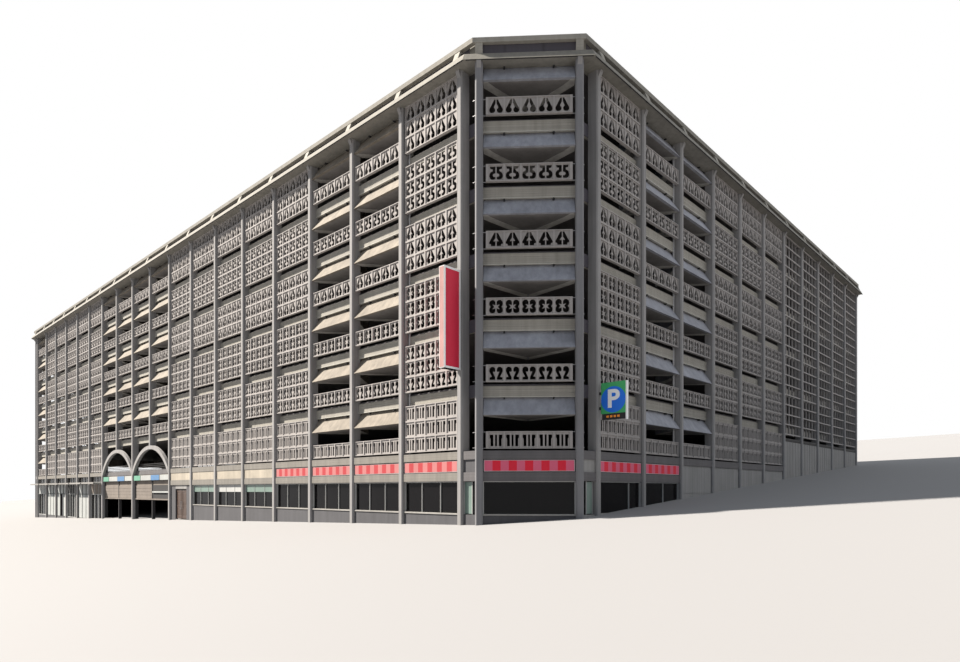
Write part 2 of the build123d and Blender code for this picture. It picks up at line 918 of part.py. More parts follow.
# Doors, each leaf turning on a pin at its head and foot
def door_leaf(width, height, side):
    """Leaf with its middle on its place and its pins on the given side, 1 or -1."""
    pin_x = side * (width / 2 - door_leaf_thickness / 2)
    with BuildPart() as leaf:
        with BuildSketch(Plane.XY.offset(-glass_setback - door_leaf_thickness)):
            Rectangle(width, height, align=(Align.CENTER, Align.MIN))
        extrude(amount=door_leaf_thickness)
        reach = door_gap - door_play
        with BuildSketch(Plane.XZ.offset(reach)):
            with Locations((pin_x, -glass_setback - door_leaf_thickness / 2)):
                RegularPolygon(door_pin_radius, door_pin_sides)
        extrude(amount=-height - 2 * reach)
    return leaf.part


leaf_centre = (entrance_leaf_width + door_gap) / 2
entrance_foot = entrance_sill + door_gap
with BuildPart() as entrance_door_right:
    with Locations(left_wall):
        with Locations((entrance_middle + leaf_centre, entrance_foot)):
            add(door_leaf(entrance_leaf_width, entrance_leaf_height, 1))

with BuildPart() as entrance_door_left:
    with Locations(left_wall):
        with Locations((entrance_middle - leaf_centre, entrance_foot)):
            add(door_leaf(entrance_leaf_width, entrance_leaf_height, -1))

with BuildPart() as shop_door:
    with Locations(left_wall):
        with Locations((shop_door_middle, shop_door_sill + door_gap)):
            add(door_leaf(shop_leaf_width, shop_leaf_height, 1))

# Signs standing out from the two corner piers
with BuildPart() as tall_sign:
    with Locations(left_wall):
        with Locations((left_x(0), 0)):
            add(upright_box(tall_sign_thickness, tall_sign_height, -tall_sign_width, 0, tall_sign_bottom))

with BuildPart() as parking_sign:
    with Locations(right_wall):
        with Locations((right_x(0), 0)):
            add(upright_box(park_sign_thickness, park_sign_height, -park_sign_width, 0, park_sign_bottom))

# Labels and files
pieces = {
    "ground_slab": ground_slab,
    "parking_decks": parking_decks,
    "party_wall": party_wall,
    "spandrels_streets": spandrels_streets,
    "spandrels_corners": spandrels_corners,
    "columns_left": columns_left,
    "columns_right": columns_right,
    "columns_back": columns_back,
    "columns_corners": columns_corners,
    "railings_left": railings_left,
    "railings_right": railings_right,
    "railings_back": railings_back,
    "railings_corners": railings_corners,
    "screens_left": screens_left,
    "screens_right": screens_right,
    "screens_back": screens_back,
    "hoods_left": hoods_left,
    "hoods_right": hoods_right,
    "hoods_back": hoods_back,
    "hoods_corners": hoods_corners,
    "lattice_bars": lattice_bars,
    "lattice_fins": lattice_fins,
    "cornice_streets": cornice_streets,
    "cornice_corners": cornice_corners,
    "roof_rail_streets": roof_rail_streets,
    "roof_rail_corners": roof_rail_corners,
    "rail_posts": rail_posts,
    "column_brackets": column_brackets,
    "first_floor_beams": first_floor_beams,
    "shop_beams": shop_beams,
    "sign_boards": sign_boards,
    "street_walls_left": street_walls_left,
    "street_walls_right": street_walls_right,
    "street_walls_back": street_walls_back,
    "street_walls_corners": street_walls_corners,
    "entrance_surround": entrance_surround,
    "portal_arches": portal_arches,
    "portal_headers": portal_headers,
    "portal_sills": portal_sills,
    "portal_floors": portal_floors,
    "shop_windows_left": shop_windows_left,
    "shop_windows_right": shop_windows_right,
    "shop_door_surround": shop_door_surround,
    "canopies": canopies,
    "entrance_door_right": entrance_door_right,
    "entrance_door_left": entrance_door_left,
    "shop_door": shop_door,
    "tall_sign": tall_sign,
    "parking_sign": parking_sign,
}
for name, piece in pieces.items():
    piece.part.label = name
    export_step(piece.part, f"parts/{name}.step")
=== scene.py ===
import json
import math
from itertools import product

import bmesh
import bpy
from mathutils import Matrix, Vector


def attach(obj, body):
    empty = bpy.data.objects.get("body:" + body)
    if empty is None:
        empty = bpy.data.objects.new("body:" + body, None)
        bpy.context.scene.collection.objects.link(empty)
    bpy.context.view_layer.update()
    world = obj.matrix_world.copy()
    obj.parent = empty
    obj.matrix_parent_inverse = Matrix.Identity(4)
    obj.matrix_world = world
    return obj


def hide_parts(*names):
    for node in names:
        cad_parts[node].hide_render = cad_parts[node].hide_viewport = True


bl_info = {
    "name": "Street-corner car park",
    "version": (1, 0, 0),
    "blender": (4, 5, 0),
    "location": "View3D > Sidebar > Car Park",
    "description": "Numeral screens, hoods, shopfronts and finishes of a multi storey car park",
    "category": "Add Mesh",
}

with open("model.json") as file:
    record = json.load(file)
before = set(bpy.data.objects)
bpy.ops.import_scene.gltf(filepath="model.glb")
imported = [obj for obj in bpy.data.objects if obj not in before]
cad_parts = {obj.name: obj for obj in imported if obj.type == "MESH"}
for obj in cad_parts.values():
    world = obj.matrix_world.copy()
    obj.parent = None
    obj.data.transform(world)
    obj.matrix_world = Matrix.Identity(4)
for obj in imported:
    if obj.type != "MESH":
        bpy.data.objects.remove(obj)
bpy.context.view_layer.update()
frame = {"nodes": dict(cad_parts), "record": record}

# Sizes and counts shared with the frame, in metres
LENGTH_X = 4.895
LENGTH_Y = 8.202
BAY = 0.405
LEFT_CORNER_RUN = 0.456
RIGHT_CORNER_RUN = 0.424
LEFT_CUT = 0.358
RIGHT_CUT = 0.302
COLUMN_WIDTH = 0.032
CORNER_COLUMN = 0.034
COLUMN_DEPTH = 0.050
STOREY = 0.290
FIRST_RAIL = 0.597
STOREYS = 6
RAIL_HEIGHT = 0.075
SCREEN_ROWS = 3
HOOD_DROP = 0.219
HOOD_LIP = 0.006
HOOD_TOP = 0.061
HOOD_REACH = 0.266
PANEL_SETBACK = 0.012
PANEL_THICKNESS = 0.016
CLEAR = BAY - COLUMN_WIDTH
CORNER_LENGTH = math.hypot(LEFT_CUT, RIGHT_CUT)
CORNER_CLEAR = CORNER_LENGTH - 2 * CORNER_COLUMN
ACROSS = RIGHT_CUT / CORNER_LENGTH
ALONG = LEFT_CUT / CORNER_LENGTH

# Sizes of the pieces that are made here, in metres
CELLS = 5
STREET_CELL = 0.0716
STREET_PANEL = CELLS * STREET_CELL
CORNER_PANEL = 0.375
PORTAL_WIDTH = 2 * BAY - COLUMN_WIDTH
RECESS_BACK = 0.0145
GLASS_FRONT = 0.0238
FRAME_BACK = 0.027

# Open and screened bays of each wall, counted from its corner
LEVELS = range(1, STOREYS + 1)
BAYS = {
    "left": ((2, 3, 9, 10, 11, 12, 18), (1, 4, 5, 6, 7, 8, 13, 14, 15, 16, 17)),
    "right": ((2, 3), (1, 4, 5, 6)),
    "back": ((2, 3, 7, 8), (1, 4, 5, 6, 9, 10, 11)),
    "near": ((1,), ()),
    "far": ((1,), ()),
}
CORNERS = ("near", "far")
PORTAL_BAYS = (9, 10, 11, 12)
PORTAL_MIDDLES = (9, 11)
SHOP_BAYS = (13, 14, 15, 16, 17, 18)

# Half of each storey's pair of numerals, in hundredths: x from the middle of its cell (0) to the
# cell's side (100), y from the cell's foot (0) to its head (100)
NUMERALS = {
    1: [(33, 81), (77, 81), (77, 62), (67, 58), (67, 14), (33, 14)],
    2: [(8, 65), (12, 80), (32, 88), (60, 87), (78, 78), (82, 63), (72, 49), (50, 29), (66, 29),
        (78, 26), (78, 12), (12, 12), (10, 25), (34, 52), (38, 62), (28, 57), (16, 57)],
    3: [(7, 56), (8, 78), (28, 88), (56, 88), (77, 80), (83, 68), (79, 56), (67, 48), (79, 41),
        (83, 29), (76, 16), (52, 10), (26, 11), (8, 20), (7, 40), (44, 34), (20, 48), (44, 62)],
    4: [(5, 90), (24, 90), (84, 36), (80, 25), (62, 25), (60, 13), (7, 13), (7, 43), (32, 41), (6, 60)],
    5: [(7, 88), (76, 88), (68, 72), (42, 71), (42, 60), (62, 57), (78, 47), (83, 33), (76, 19),
        (58, 12), (34, 11), (7, 13), (7, 28), (28, 28), (40, 36), (32, 44), (7, 48)],
    6: [(5, 90), (22, 90), (66, 48), (80, 37), (83, 27), (78, 17), (62, 11), (42, 10), (24, 13),
        (11, 20), (9, 30), (14, 36), (27, 44), (15, 56), (6, 66)],
}
MIDDLE_STROKE = [(-12, 81), (12, 81), (12, 14), (-12, 14)]


# Walls and bays
def wall_matrix(name):
    """Plane on a wall's column fronts: x to the right as seen from the street, y up, z outwards."""
    half_x, half_y = LENGTH_X / 2, LENGTH_Y / 2
    origin, right, out = {
        "right": ((-half_x, -half_y), (1, 0), (0, -1)),
        "left": ((-half_x, half_y), (0, -1), (-1, 0)),
        "back": ((half_x, half_y), (-1, 0), (0, 1)),
        "near": ((-half_x, LEFT_CUT - half_y), (ACROSS, -ALONG), (-ALONG, -ACROSS)),
        "far": ((RIGHT_CUT - half_x, half_y), (-ACROSS, -ALONG), (-ALONG, ACROSS)),
    }[name]
    return Matrix((
        (right[0], 0, out[0], origin[0]),
        (right[1], 0, out[1], origin[1]),
        (0, 1, 0, 0),
        (0, 0, 0, 1),
    ))


WALLS = {name: wall_matrix(name) for name in BAYS}


def column_x(side, column):
    """Place of a column along its wall, counted from the wall's cut corner."""
    if side == "left":
        return LENGTH_Y - LEFT_CORNER_RUN - column * BAY
    if side == "right":
        return RIGHT_CORNER_RUN + column * BAY
    return LENGTH_X - RIGHT_CORNER_RUN - column * BAY


def rail_top(level):
    """Height of a storey's railing top."""
    return FIRST_RAIL + (level - 1) * STOREY


def bay_middle(side, number):
    """Middle of a bay, the first bay being that beside the corner."""
    return CORNER_LENGTH / 2 if side in CORNERS else column_x(side, number - 0.5)


def bay_clear(side):
    """Clear width of a wall's bays between their columns."""
    return CORNER_CLEAR if side in CORNERS else CLEAR


def panel_width(side):
    """Width of a wall's railings and screens."""
    return CORNER_PANEL if side in CORNERS else STREET_PANEL


def panels(*kinds):
    """Wall, bay, storey and rows of every panel that has one of the given numbers of rows."""
    for side, (open_bays, screened_bays) in BAYS.items():
        for numbers, rows in ((open_bays, 1), (screened_bays, SCREEN_ROWS)):
            for number, level in product(numbers, LEVELS):
                under_arch = side == "left" and level == 1 and number in PORTAL_BAYS
                if rows in kinds and not under_arch:
                    yield side, number, level, rows


# Mesh helpers
ALONG_WALL = Matrix.Rotation(math.pi / 2, 4, "Y")
UPRIGHT = Matrix.Rotation(math.pi / 2, 4, "X")


def at(wall, x, height, depth):
    """Place on a wall, at a depth behind its columns' fronts."""
    return wall @ Matrix.Translation((x, height, -depth))


def give_finish(verts, index):
    """Gives every face at some vertices the finish with an index in its object's list."""
    for vert in verts:
        for face in vert.link_faces:
            face.material_index = index


def block(bm, wall, x, bottom, width, height, front, back, index=0):
    """Box centred on x along a wall, between two depths behind the columns' fronts."""
    place = at(wall, x, bottom + height / 2, (front + back) / 2)
    size = Matrix.Diagonal((width, height, back - front, 1))
    made = bmesh.ops.create_cube(bm, size=1, matrix=place @ size)
    give_finish(made["verts"], index)
    return made["verts"]


def rod(bm, place, radius, length, sides=6):
    """Round bar along its own z, centred on its place."""
    bmesh.ops.create_cone(
        bm, cap_ends=True, segments=sides, radius1=radius, radius2=radius, depth=length, matrix=place
    )


def thicken(bm, faces, shift):
    """Closed solid between flat faces and their shifted copy, whose vertices are returned."""
    grown = bmesh.ops.extrude_face_region(bm, geom=list(faces), use_keep_orig=True)
    moved = [part for part in grown["geom"] if isinstance(part, bmesh.types.BMVert)]
    bmesh.ops.translate(bm, vec=shift, verts=moved)
    return moved


def stamp(bm, unit, places):
    """Copies of a unit mesh, one at each place."""
    for place in places:
        unit.transform(place)
        bm.from_mesh(unit)
        unit.transform(place.inverted())


def as_mesh(bm, name):
    """Mesh data of a finished bmesh."""
    mesh = bpy.data.meshes.new(name)
    bm.to_mesh(mesh)
    bm.free()
    return mesh


def finished(bm, name, materials, replaced=(), body="building", bevel=0.0):
    """Object of a finished mesh, riding on its body."""
    mesh = as_mesh(bm, name)
    for material in materials:
        mesh.materials.append(finish(material))
    piece = bpy.data.objects.new(name, mesh)
    bpy.context.scene.collection.objects.link(piece)
    if bevel:
        edge = piece.modifiers.new("Worn edges", "BEVEL")
        edge.width = bevel
        edge.segments = 1
        edge.limit_method = "ANGLE"
    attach(piece, body)
    if replaced:
        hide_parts(*replaced)


# Materials
def feed(tree, value, socket):
    """Links a socket to another, or sets it to a plain value."""
    if isinstance(value, bpy.types.NodeSocket):
        tree.links.new(value, socket)
    else:
        socket.default_value = value


def new_group(name, inputs, outputs):
    """Shader node group with named inputs and float outputs."""
    group = bpy.data.node_groups.new(name, "ShaderNodeTree")
    for label, kind, default in inputs:
        socket = group.interface.new_socket(name=label, in_out="INPUT", socket_type=kind)
        socket.default_value = default
    for label in outputs:
        group.interface.new_socket(name=label, in_out="OUTPUT", socket_type="NodeSocketFloat")
    return group, group.nodes.new("NodeGroupInput").outputs, group.nodes.new("NodeGroupOutput").inputs


def calculated(tree, operation, first, second=0.0, clamp=False):
    """Result of a math node fed by sockets or plain numbers."""
    node = tree.nodes.new("ShaderNodeMath")
    node.operation = operation
    node.use_clamp = clamp
    feed(tree, first, node.inputs[0])
    feed(tree, second, node.inputs[1])
    return node.outputs[0]


def noise(tree, vector, scale, detail, roughness):
    """Noise on the given coordinates."""
    node = tree.nodes.new("ShaderNodeTexNoise")
    for label, value in (("Vector", vector), ("Scale", scale), ("Detail", detail), ("Roughness", roughness)):
        feed(tree, value, node.inputs[label])
    return node.outputs["Fac"]


def stretched(tree, vector, factors):
    """Coordinates stretched along each axis."""
    node = tree.nodes.new("ShaderNodeVectorMath")
    node.operation = "MULTIPLY"
    feed(tree, vector, node.inputs[0])
    feed(tree, factors, node.inputs[1])
    return node.outputs[0]


def axes_of(tree, vector):
    """X, Y and Z of a vector."""
    node = tree.nodes.new("ShaderNodeSeparateXYZ")
    feed(tree, vector, node.inputs[0])
    return node.outputs


def spread(tree, value, low, high):
    """Value spread from 0 at low to 1 at high."""
    node = tree.nodes.new("ShaderNodeMapRange")
    for label, given in (("Value", value), ("From Min", low), ("From Max", high)):
        feed(tree, given, node.inputs[label])
    return node.outputs["Result"]


def blended(tree, factor, first, second, kind="MIX"):
    """Mix of two colours, each a socket or a plain colour."""
    node = tree.nodes.new("ShaderNodeMix")
    node.data_type = "RGBA"
    node.blend_type = kind
    for label, value in (("Factor", factor), ("A", first), ("B", second)):
        feed(tree, value, node.inputs[label])
    return node.outputs["Result"]


def marked(tree, mask, strength, base, colour):
    """Base colour, turned towards another one where a mask is high."""
    return blended(tree, calculated(tree, "MULTIPLY", mask, strength), base, colour)


def scaled(colour, factor):
    """Colour made lighter or darker."""
    return tuple(min(1.0, part * factor) for part in colour[:3]) + (1.0,)


def weather_group(name):
    """Rain streaks, soot patches and fine stone grain of old concrete."""
    group, given, results = new_group(
        name,
        (("Coordinates", "NodeSocketVector", (0, 0, 0)), ("Grain Size", "NodeSocketFloat", 260.0)),
        ("Streaks", "Patches", "Grain"),
    )
    place = given["Coordinates"]
    streaks = noise(group, stretched(group, place, (34, 34, 1.6)), 1.0, 4.0, 0.62)
    patches = noise(group, place, 7.5, 5.0, 0.6)
    feed(group, spread(group, streaks, 0.36, 0.72), results["Streaks"])
    feed(group, spread(group, patches, 0.32, 0.70), results["Patches"])
    feed(group, noise(group, place, given["Grain Size"], 2.0, 0.7), results["Grain"])
    return group


def board_group(name):
    """Marks that formwork boards leave: a tone for each board and the line between two."""
    group, given, results = new_group(
        name,
        [(label, "NodeSocketFloat", 1.0) for label in ("Along", "Across", "Width")],
        ("Tone", "Joint", "Fibre"),
    )
    count = calculated(group, "DIVIDE", given["Across"], given["Width"])
    edge = calculated(group, "PINGPONG", calculated(group, "FRACT", count), 0.5)
    tone = group.nodes.new("ShaderNodeTexWhiteNoise")
    tone.noise_dimensions = "1D"
    feed(group, calculated(group, "FLOOR", count), tone.inputs["W"])
    both = group.nodes.new("ShaderNodeCombineXYZ")
    feed(group, calculated(group, "MULTIPLY", given["Along"], 6.0), both.inputs["X"])
    feed(group, calculated(group, "MULTIPLY", given["Across"], 420.0), both.inputs["Y"])
    feed(group, tone.outputs["Value"], results["Tone"])
    feed(group, spread(group, edge, 0.06, 0.0), results["Joint"])
    feed(group, noise(group, both.outputs[0], 1.0, 3.0, 0.6), results["Fibre"])
    return group


def shared_group(tree, name, maker, **values):
    """Outputs of a node group that is built once, fed with sockets or plain values."""
    node = tree.nodes.new("ShaderNodeGroup")
    node.node_tree = bpy.data.node_groups.get(name) or maker(name)
    for label, value in values.items():
        feed(tree, value, node.inputs[label])
    return node.outputs


def new_material(name, roughness):
    """Empty material, its tree, its shader's inputs and its object coordinates."""
    material = bpy.data.materials.new(name)
    material.use_nodes = True
    tree = material.node_tree
    surface = tree.nodes["Principled BSDF"].inputs
    surface["Roughness"].default_value = roughness
    return material, tree, surface, tree.nodes.new("ShaderNodeTexCoord").outputs["Object"]


def roughened(tree, surface, height, strength, distance):
    """Bump of a height on the shader's normal."""
    bump = tree.nodes.new("ShaderNodeBump")
    for label, value in (("Height", height), ("Strength", strength), ("Distance", distance)):
        feed(tree, value, bump.inputs[label])
    feed(tree, bump.outputs["Normal"], surface["Normal"])


def concrete(name, colour, boards=None, streaks=0.35, patches=0.35, grain=0.3, far_half=None):
    """Weathered concrete; boards is their direction and width, and the last argument a tint past the middle:
    a lit copy of the colour for the sunlit far side, painted light.
    """
    material, tree, surface, place = new_material(name, 0.86)
    weather = shared_group(tree, "Weathered Concrete", weather_group, Coordinates=place)
    sooty, bleached = scaled(colour, 1 - 0.32 * patches), scaled(colour, 1 + 0.25 * patches)
    shade = blended(tree, weather["Patches"], sooty, bleached)
    shade = marked(tree, weather["Grain"], grain, shade, scaled(colour, 1.2))
    height = weather["Grain"]
    if boards:
        axes = axes_of(tree, place)
        length = calculated(tree, "ADD", axes["X"], axes["Y"])
        direction, width = boards
        across, along = (axes["Z"], length) if direction == "level" else (length, axes["Z"])
        marks = shared_group(tree, "Board Marks", board_group, Along=along, Across=across, Width=width)
        for mark, strength, factor in (("Tone", 0.30, 0.62), ("Fibre", 0.22, 0.55), ("Joint", 0.6, 0.42)):
            shade = marked(tree, marks[mark], strength, shade, scaled(colour, factor))
        lines = calculated(tree, "MULTIPLY", marks["Joint"], -1.4)
        height = calculated(tree, "ADD", calculated(tree, "ADD", height, lines), marks["Fibre"])
    shade = marked(tree, weather["Streaks"], streaks, shade, scaled(colour, 0.45))
    # Past the middle the colour is multiplied by a warm, darker tint: a lit copy of the concrete for the far
    # corner, where the sun falls, painted light.
    if far_half:
        beyond = calculated(tree, "GREATER_THAN", axes_of(tree, place)["Y"], 0.0)
        shade = blended(tree, beyond, shade, far_half, "MULTIPLY")
    feed(tree, shade, surface["Base Color"])
    roughened(tree, surface, height, 0.35, 0.0008)
    return material


def paint(name, colour, roughness, wear, metal=0.0):
    """Painted surface with faded patches and faint dirt."""
    material, tree, surface, place = new_material(name, roughness)
    weather = shared_group(tree, "Weathered Concrete", weather_group, Coordinates=place)
    shade = blended(tree, weather["Patches"], scaled(colour, 1 - 0.4 * wear), scaled(colour, 1 + 0.3 * wear))
    feed(tree, marked(tree, weather["Streaks"], wear, shade, scaled(colour, 0.6)), surface["Base Color"])
    shine = calculated(tree, "MULTIPLY", weather["Grain"], 0.35)
    feed(tree, calculated(tree, "ADD", shine, roughness - 0.12, clamp=True), surface["Roughness"])
    surface["Metallic"].default_value = metal
    return material


def glass(name, colour):
    """Window glass, faintly uneven."""
    material, tree, surface, place = new_material(name, 0.03)
    waves = noise(tree, place, 9.0, 2.0, 0.5)
    feed(tree, blended(tree, waves, scaled(colour, 0.8), scaled(colour, 1.25)), surface["Base Color"])
    surface["Transmission Weight"].default_value = 0.55
    surface["IOR"].default_value = 1.22
    roughened(tree, surface, waves, 0.05, 0.001)
    return material


def varnished_wood(name, colour):
    """Dark boards with upright grain."""
    material, tree, surface, place = new_material(name, 0.4)
    grain = noise(tree, stretched(tree, place, (420, 420, 18)), 1.0, 4.0, 0.65)
    feed(tree, blended(tree, grain, scaled(colour, 0.55), scaled(colour, 1.6)), surface["Base Color"])
    return material


# Colour of each concrete, and what differs from the usual boards, streaks, patches and grain
CONCRETES = {
    "deck concrete": ((0.085, 0.08, 0.08), dict(patches=0.6, streaks=0.1)),
    "party wall concrete": ((0.24, 0.22, 0.20), dict(boards=("level", 0.06))),
    "board concrete": ((0.32, 0.305, 0.27), dict(boards=("level", 0.0098), streaks=0.4)),
    "column concrete": ((0.245, 0.24, 0.24), dict(streaks=0.45, patches=0.3)),
    "panel concrete": ((0.30, 0.283, 0.275), dict(streaks=0.3, grain=0.45)),
    # Hood concrete is the bluish tone of the hoods in shade, with a warm tint past the middle; its warm copy
    # further down serves the left and back streets in the sun: lit and shaded copies of one concrete, painted
    # light and shade.
    "hood concrete": ((0.30, 0.31, 0.35), dict(streaks=0.5, patches=0.7, far_half=(0.60, 0.50, 0.37, 1))),
    "street concrete": ((0.27, 0.265, 0.26), dict(boards=("upright", 0.03), streaks=0.4)),
    # The numeral plates are a little darker than the ribs round them: painted shade for the recessed cells.
    "numeral plate": ((0.272, 0.256, 0.248), dict(grain=0.5)),
    "band concrete": ((0.42, 0.41, 0.39), dict(streaks=0.5, patches=0.6)),
    # The dark plates under the hoods: painted shade.
    "soffit concrete": ((0.17, 0.162, 0.158), dict(streaks=0.3, patches=0.9)),
    "beam concrete": ((0.11, 0.105, 0.11), dict(boards=("level", 0.012), streaks=0.4)),
    "pale beam": ((0.19, 0.178, 0.16), dict(boards=("level", 0.012), streaks=0.5)),
    "plinth concrete": ((0.065, 0.065, 0.072), dict(streaks=0.4)),
    # A darker copy of the column concrete for the columns of the shaded corners: painted shade.
    "corner concrete": ((0.175, 0.175, 0.185), dict(streaks=0.45, patches=0.3)),
    "sunny hood": ((0.205, 0.18, 0.148), dict(streaks=0.7, patches=0.9)),
    # Dark boards of the roof edge, and dark strips and plates that stand for shade under the rails and in the
    # corner slots: painted shade.
    "upstand concrete": ((0.07, 0.065, 0.08), dict(boards=("upright", 0.02))),
    "roof concrete": ((0.22, 0.21, 0.185), dict(boards=("level", 0.0098), streaks=0.5)),
    # Pale strip along the ledge over each hood: painted highlight for its lit top.
    "ledge concrete": ((0.42, 0.41, 0.37), dict(streaks=0.3)),
}
# Colour of each paint, or the setting that holds it, with its roughness, wear and share of metal
PAINTS = {
    "board red": ("board_red", 0.7, 0.1),
    "board pink": ((0.60, 0.10, 0.18), 0.7, 0.1),
    # The duller red and pink below are copies of the board red and pink for the boards in the sun on the left
    # street: lit and shaded copies of one paint, painted light.
    "faded board red": ((0.33, 0.028, 0.035), 0.85, 0.15),
    "faded board pink": ((0.38, 0.135, 0.135), 0.85, 0.15),
    "portal board": ((0.36, 0.32, 0.26), 0.6, 0.5),
    "brown board": ((0.17, 0.145, 0.125), 0.8, 0.5),
    "white metal": ((0.37, 0.375, 0.37), 0.7, 0.25),
    "dark metal": ((0.02, 0.02, 0.022), 0.85, 0.3),
    "grey metal": ((0.30, 0.30, 0.31), 0.4, 0.3, 0.5),
    "canopy metal": ((0.27, 0.262, 0.248), 0.8, 0.4),
    "window blind": ((0.16, 0.15, 0.14), 0.8, 0.3),
    "pale green": ((0.15, 0.21, 0.185), 0.3, 0.3),
    "sign box green": ((0.10, 0.27, 0.19), 0.8, 0.15),
    "box blue": ((0.07, 0.17, 0.33), 0.8, 0.2),
    "box white": ((0.34, 0.355, 0.35), 0.8, 0.3),
    "sign red": ("sign_red", 0.6, 0.12),
    "sign green": ("sign_green", 0.6, 0.15),
    "sign blue": ("sign_blue", 0.6, 0.1),
    "sign frame": ((0.48, 0.46, 0.46), 0.85, 0.2),
    "faded red": ((0.35, 0.20, 0.19), 0.85, 0.5),
    "sign white": ((0.82, 0.82, 0.83), 0.6, 0.1),
    "display orange": ((0.9, 0.28, 0.02), 0.5, 0.1),
}


def finish(name):
    """Material of a finish, made once."""
    if name in bpy.data.materials:
        return bpy.data.materials[name]
    if name in CONCRETES:
        colour, options = CONCRETES[name]
        return concrete(name, colour, **options)
    if name in PAINTS:
        colour, *options = PAINTS[name]
        if isinstance(colour, str):
            colour = getattr(bpy.context.scene.car_park, colour)
        return paint(name, colour, *options)
    return {
        "shop glass": lambda: glass(name, (0.012, 0.011, 0.012)),
        "brown door": lambda: varnished_wood(name, (0.05, 0.028, 0.018)),
    }[name]()


# Settings
def length_setting(name, description, default, low, high):
    """Length that a user would change."""
    return bpy.props.FloatProperty(
        name=name, description=description, default=default, min=low, max=high, unit="LENGTH"
    )


def colour_setting(name, description, default):
    """Colour that a user would change."""
    return bpy.props.FloatVectorProperty(
        name=name, description=description, default=default, min=0, max=1, subtype="COLOR"
    )


class CarParkSettings(bpy.types.PropertyGroup):
    """Sizes and colours that a user would change."""

    rib_width: length_setting("Rib width", "Width of the rib between two numeral cells", 0.007, 0.004, 0.014)
    recess: length_setting("Cell recess", "How far each numeral cell lies behind its ribs", 0.004, 0.0, 0.006)
    plate: length_setting("Plate thickness", "Thickness of each pierced plate", 0.004, 0.002, 0.010)
    fixing_radius: length_setting("Fixing radius", "Radius of the black fixings", 0.0045, 0.001, 0.006)
    stripes: bpy.props.IntProperty(
        name="Stripes", description="Stripes of each board over the shop windows", default=11, min=3, max=21
    )
    board_red: colour_setting("Board red", "Red of the boards round the near corner", (0.62, 0.006, 0.03))
    sign_red: colour_setting("Tall sign", "Red of the tall sign", (0.60, 0.014, 0.05))
    sign_green: colour_setting("Parking sign", "Green of the parking sign", (0.045, 0.36, 0.12))
    sign_blue: colour_setting("Parking badge", "Blue behind the parking sign's letter", (0.006, 0.15, 0.70))


# Panels, deck edges and hoods
def panel_frame(rows, width, rib):
    """Grid of ribs round the cells of a panel, its front on z 0."""
    bm = bmesh.new()
    bmesh.ops.create_grid(bm, x_segments=CELLS, y_segments=rows, size=0.5)
    if len(bm.faces) != CELLS * rows:
        raise RuntimeError("the grid of cells has the wrong number of faces")
    bmesh.ops.scale(bm, vec=(STREET_PANEL, rows * RAIL_HEIGHT, 1), verts=bm.verts)
    bmesh.ops.translate(bm, vec=(0, rows * RAIL_HEIGHT / 2, 0), verts=bm.verts)
    cells = bm.faces[:]
    bmesh.ops.inset_individual(bm, faces=cells, thickness=rib / 2, use_even_offset=True)
    bmesh.ops.delete(bm, geom=cells, context="FACES_ONLY")
    bmesh.ops.solidify(bm, geom=bm.faces[:], thickness=PANEL_THICKNESS)
    bmesh.ops.translate(bm, vec=(0, 0, -max(vert.co.z for vert in bm.verts)), verts=bm.verts)
    strip = (width - STREET_PANEL) / 2
    if strip > 0.001:
        for side in (-1, 1):
            middle = side * (width - strip) / 2
            block(bm, Matrix.Identity(4), middle, 0, strip, rows * RAIL_HEIGHT, 0, PANEL_THICKNESS)
    bmesh.ops.recalc_face_normals(bm, faces=bm.faces)
    return as_mesh(bm, f"ribs x {rows}")


def numeral_cell(level, settings):
    """Thin plate of one cell, pierced by a storey's numeral and its mirror image."""
    bm = bmesh.new()
    half_x = (STREET_CELL - settings.rib_width) / 2
    half_y = (RAIL_HEIGHT - settings.rib_width) / 2
    loops = [[(-half_x, -half_y), (half_x, -half_y), (half_x, half_y), (-half_x, half_y)]]
    shapes = [[(side * x, y) for x, y in NUMERALS[level]] for side in (-1, 1)]
    if level == 1:
        shapes.append(MIDDLE_STROKE)
    for shape in shapes:
        loops.append([(x / 100 * STREET_CELL / 2, (y / 100 - 0.5) * RAIL_HEIGHT) for x, y in shape])
    edges = []
    for loop in loops:
        points = [bm.verts.new((x, y, -settings.recess)) for x, y in loop]
        edges += [bm.edges.new((points[i - 1], points[i])) for i in range(len(points))]
    bmesh.ops.triangle_fill(bm, edges=edges, use_beauty=True, normal=(0, 0, 1))
    thicken(bm, bm.faces, (0, 0, -settings.plate))
    bmesh.ops.recalc_face_normals(bm, faces=bm.faces)
    give_finish(bm.verts, 1)
    return as_mesh(bm, f"numeral {level}")


def cell_places(rows):
    """Places of the cells within a panel."""
    return [
        Matrix.Translation(((i - (CELLS - 1) / 2) * STREET_CELL, (row + 0.5) * RAIL_HEIGHT, 0))
        for i in range(CELLS) for row in range(rows)
    ]


class CARPARK_OT_numeral_panels(bpy.types.Operator):
    """Railings and screens pierced with each storey's number and its mirror image"""

    bl_idname = "carpark.numeral_panels"
    bl_label = "Numeral panels"

    def execute(self, context):
        settings = context.scene.car_park
        for kind, rows in (("railings", 1), ("screens", SCREEN_ROWS)):
            for group in ("left", "right", "back", "corners"):
                sides = CORNERS if group == "corners" else (group,)
                bays = [panel for panel in panels(rows) if panel[0] in sides]
                if not bays:
                    continue
                bm = bmesh.new()
                ribs = panel_frame(rows, panel_width(sides[0]), settings.rib_width)
                for level in LEVELS:
                    numeral = numeral_cell(level, settings)
                    foot = rail_top(level) - RAIL_HEIGHT
                    places = [
                        at(WALLS[side], bay_middle(side, number), foot, PANEL_SETBACK)
                        for side, number, storey, _ in bays if storey == level
                    ]
                    stamp(bm, ribs, places)
                    stamp(bm, numeral, [place @ cell for place in places for cell in cell_places(rows)])
                    bpy.data.meshes.remove(numeral)
                bpy.data.meshes.remove(ribs)
                node = f"{kind}_{group}"
                finished(bm, f"numeral_{node}", ["panel concrete", "numeral plate"], [node])
        return {"FINISHED"}


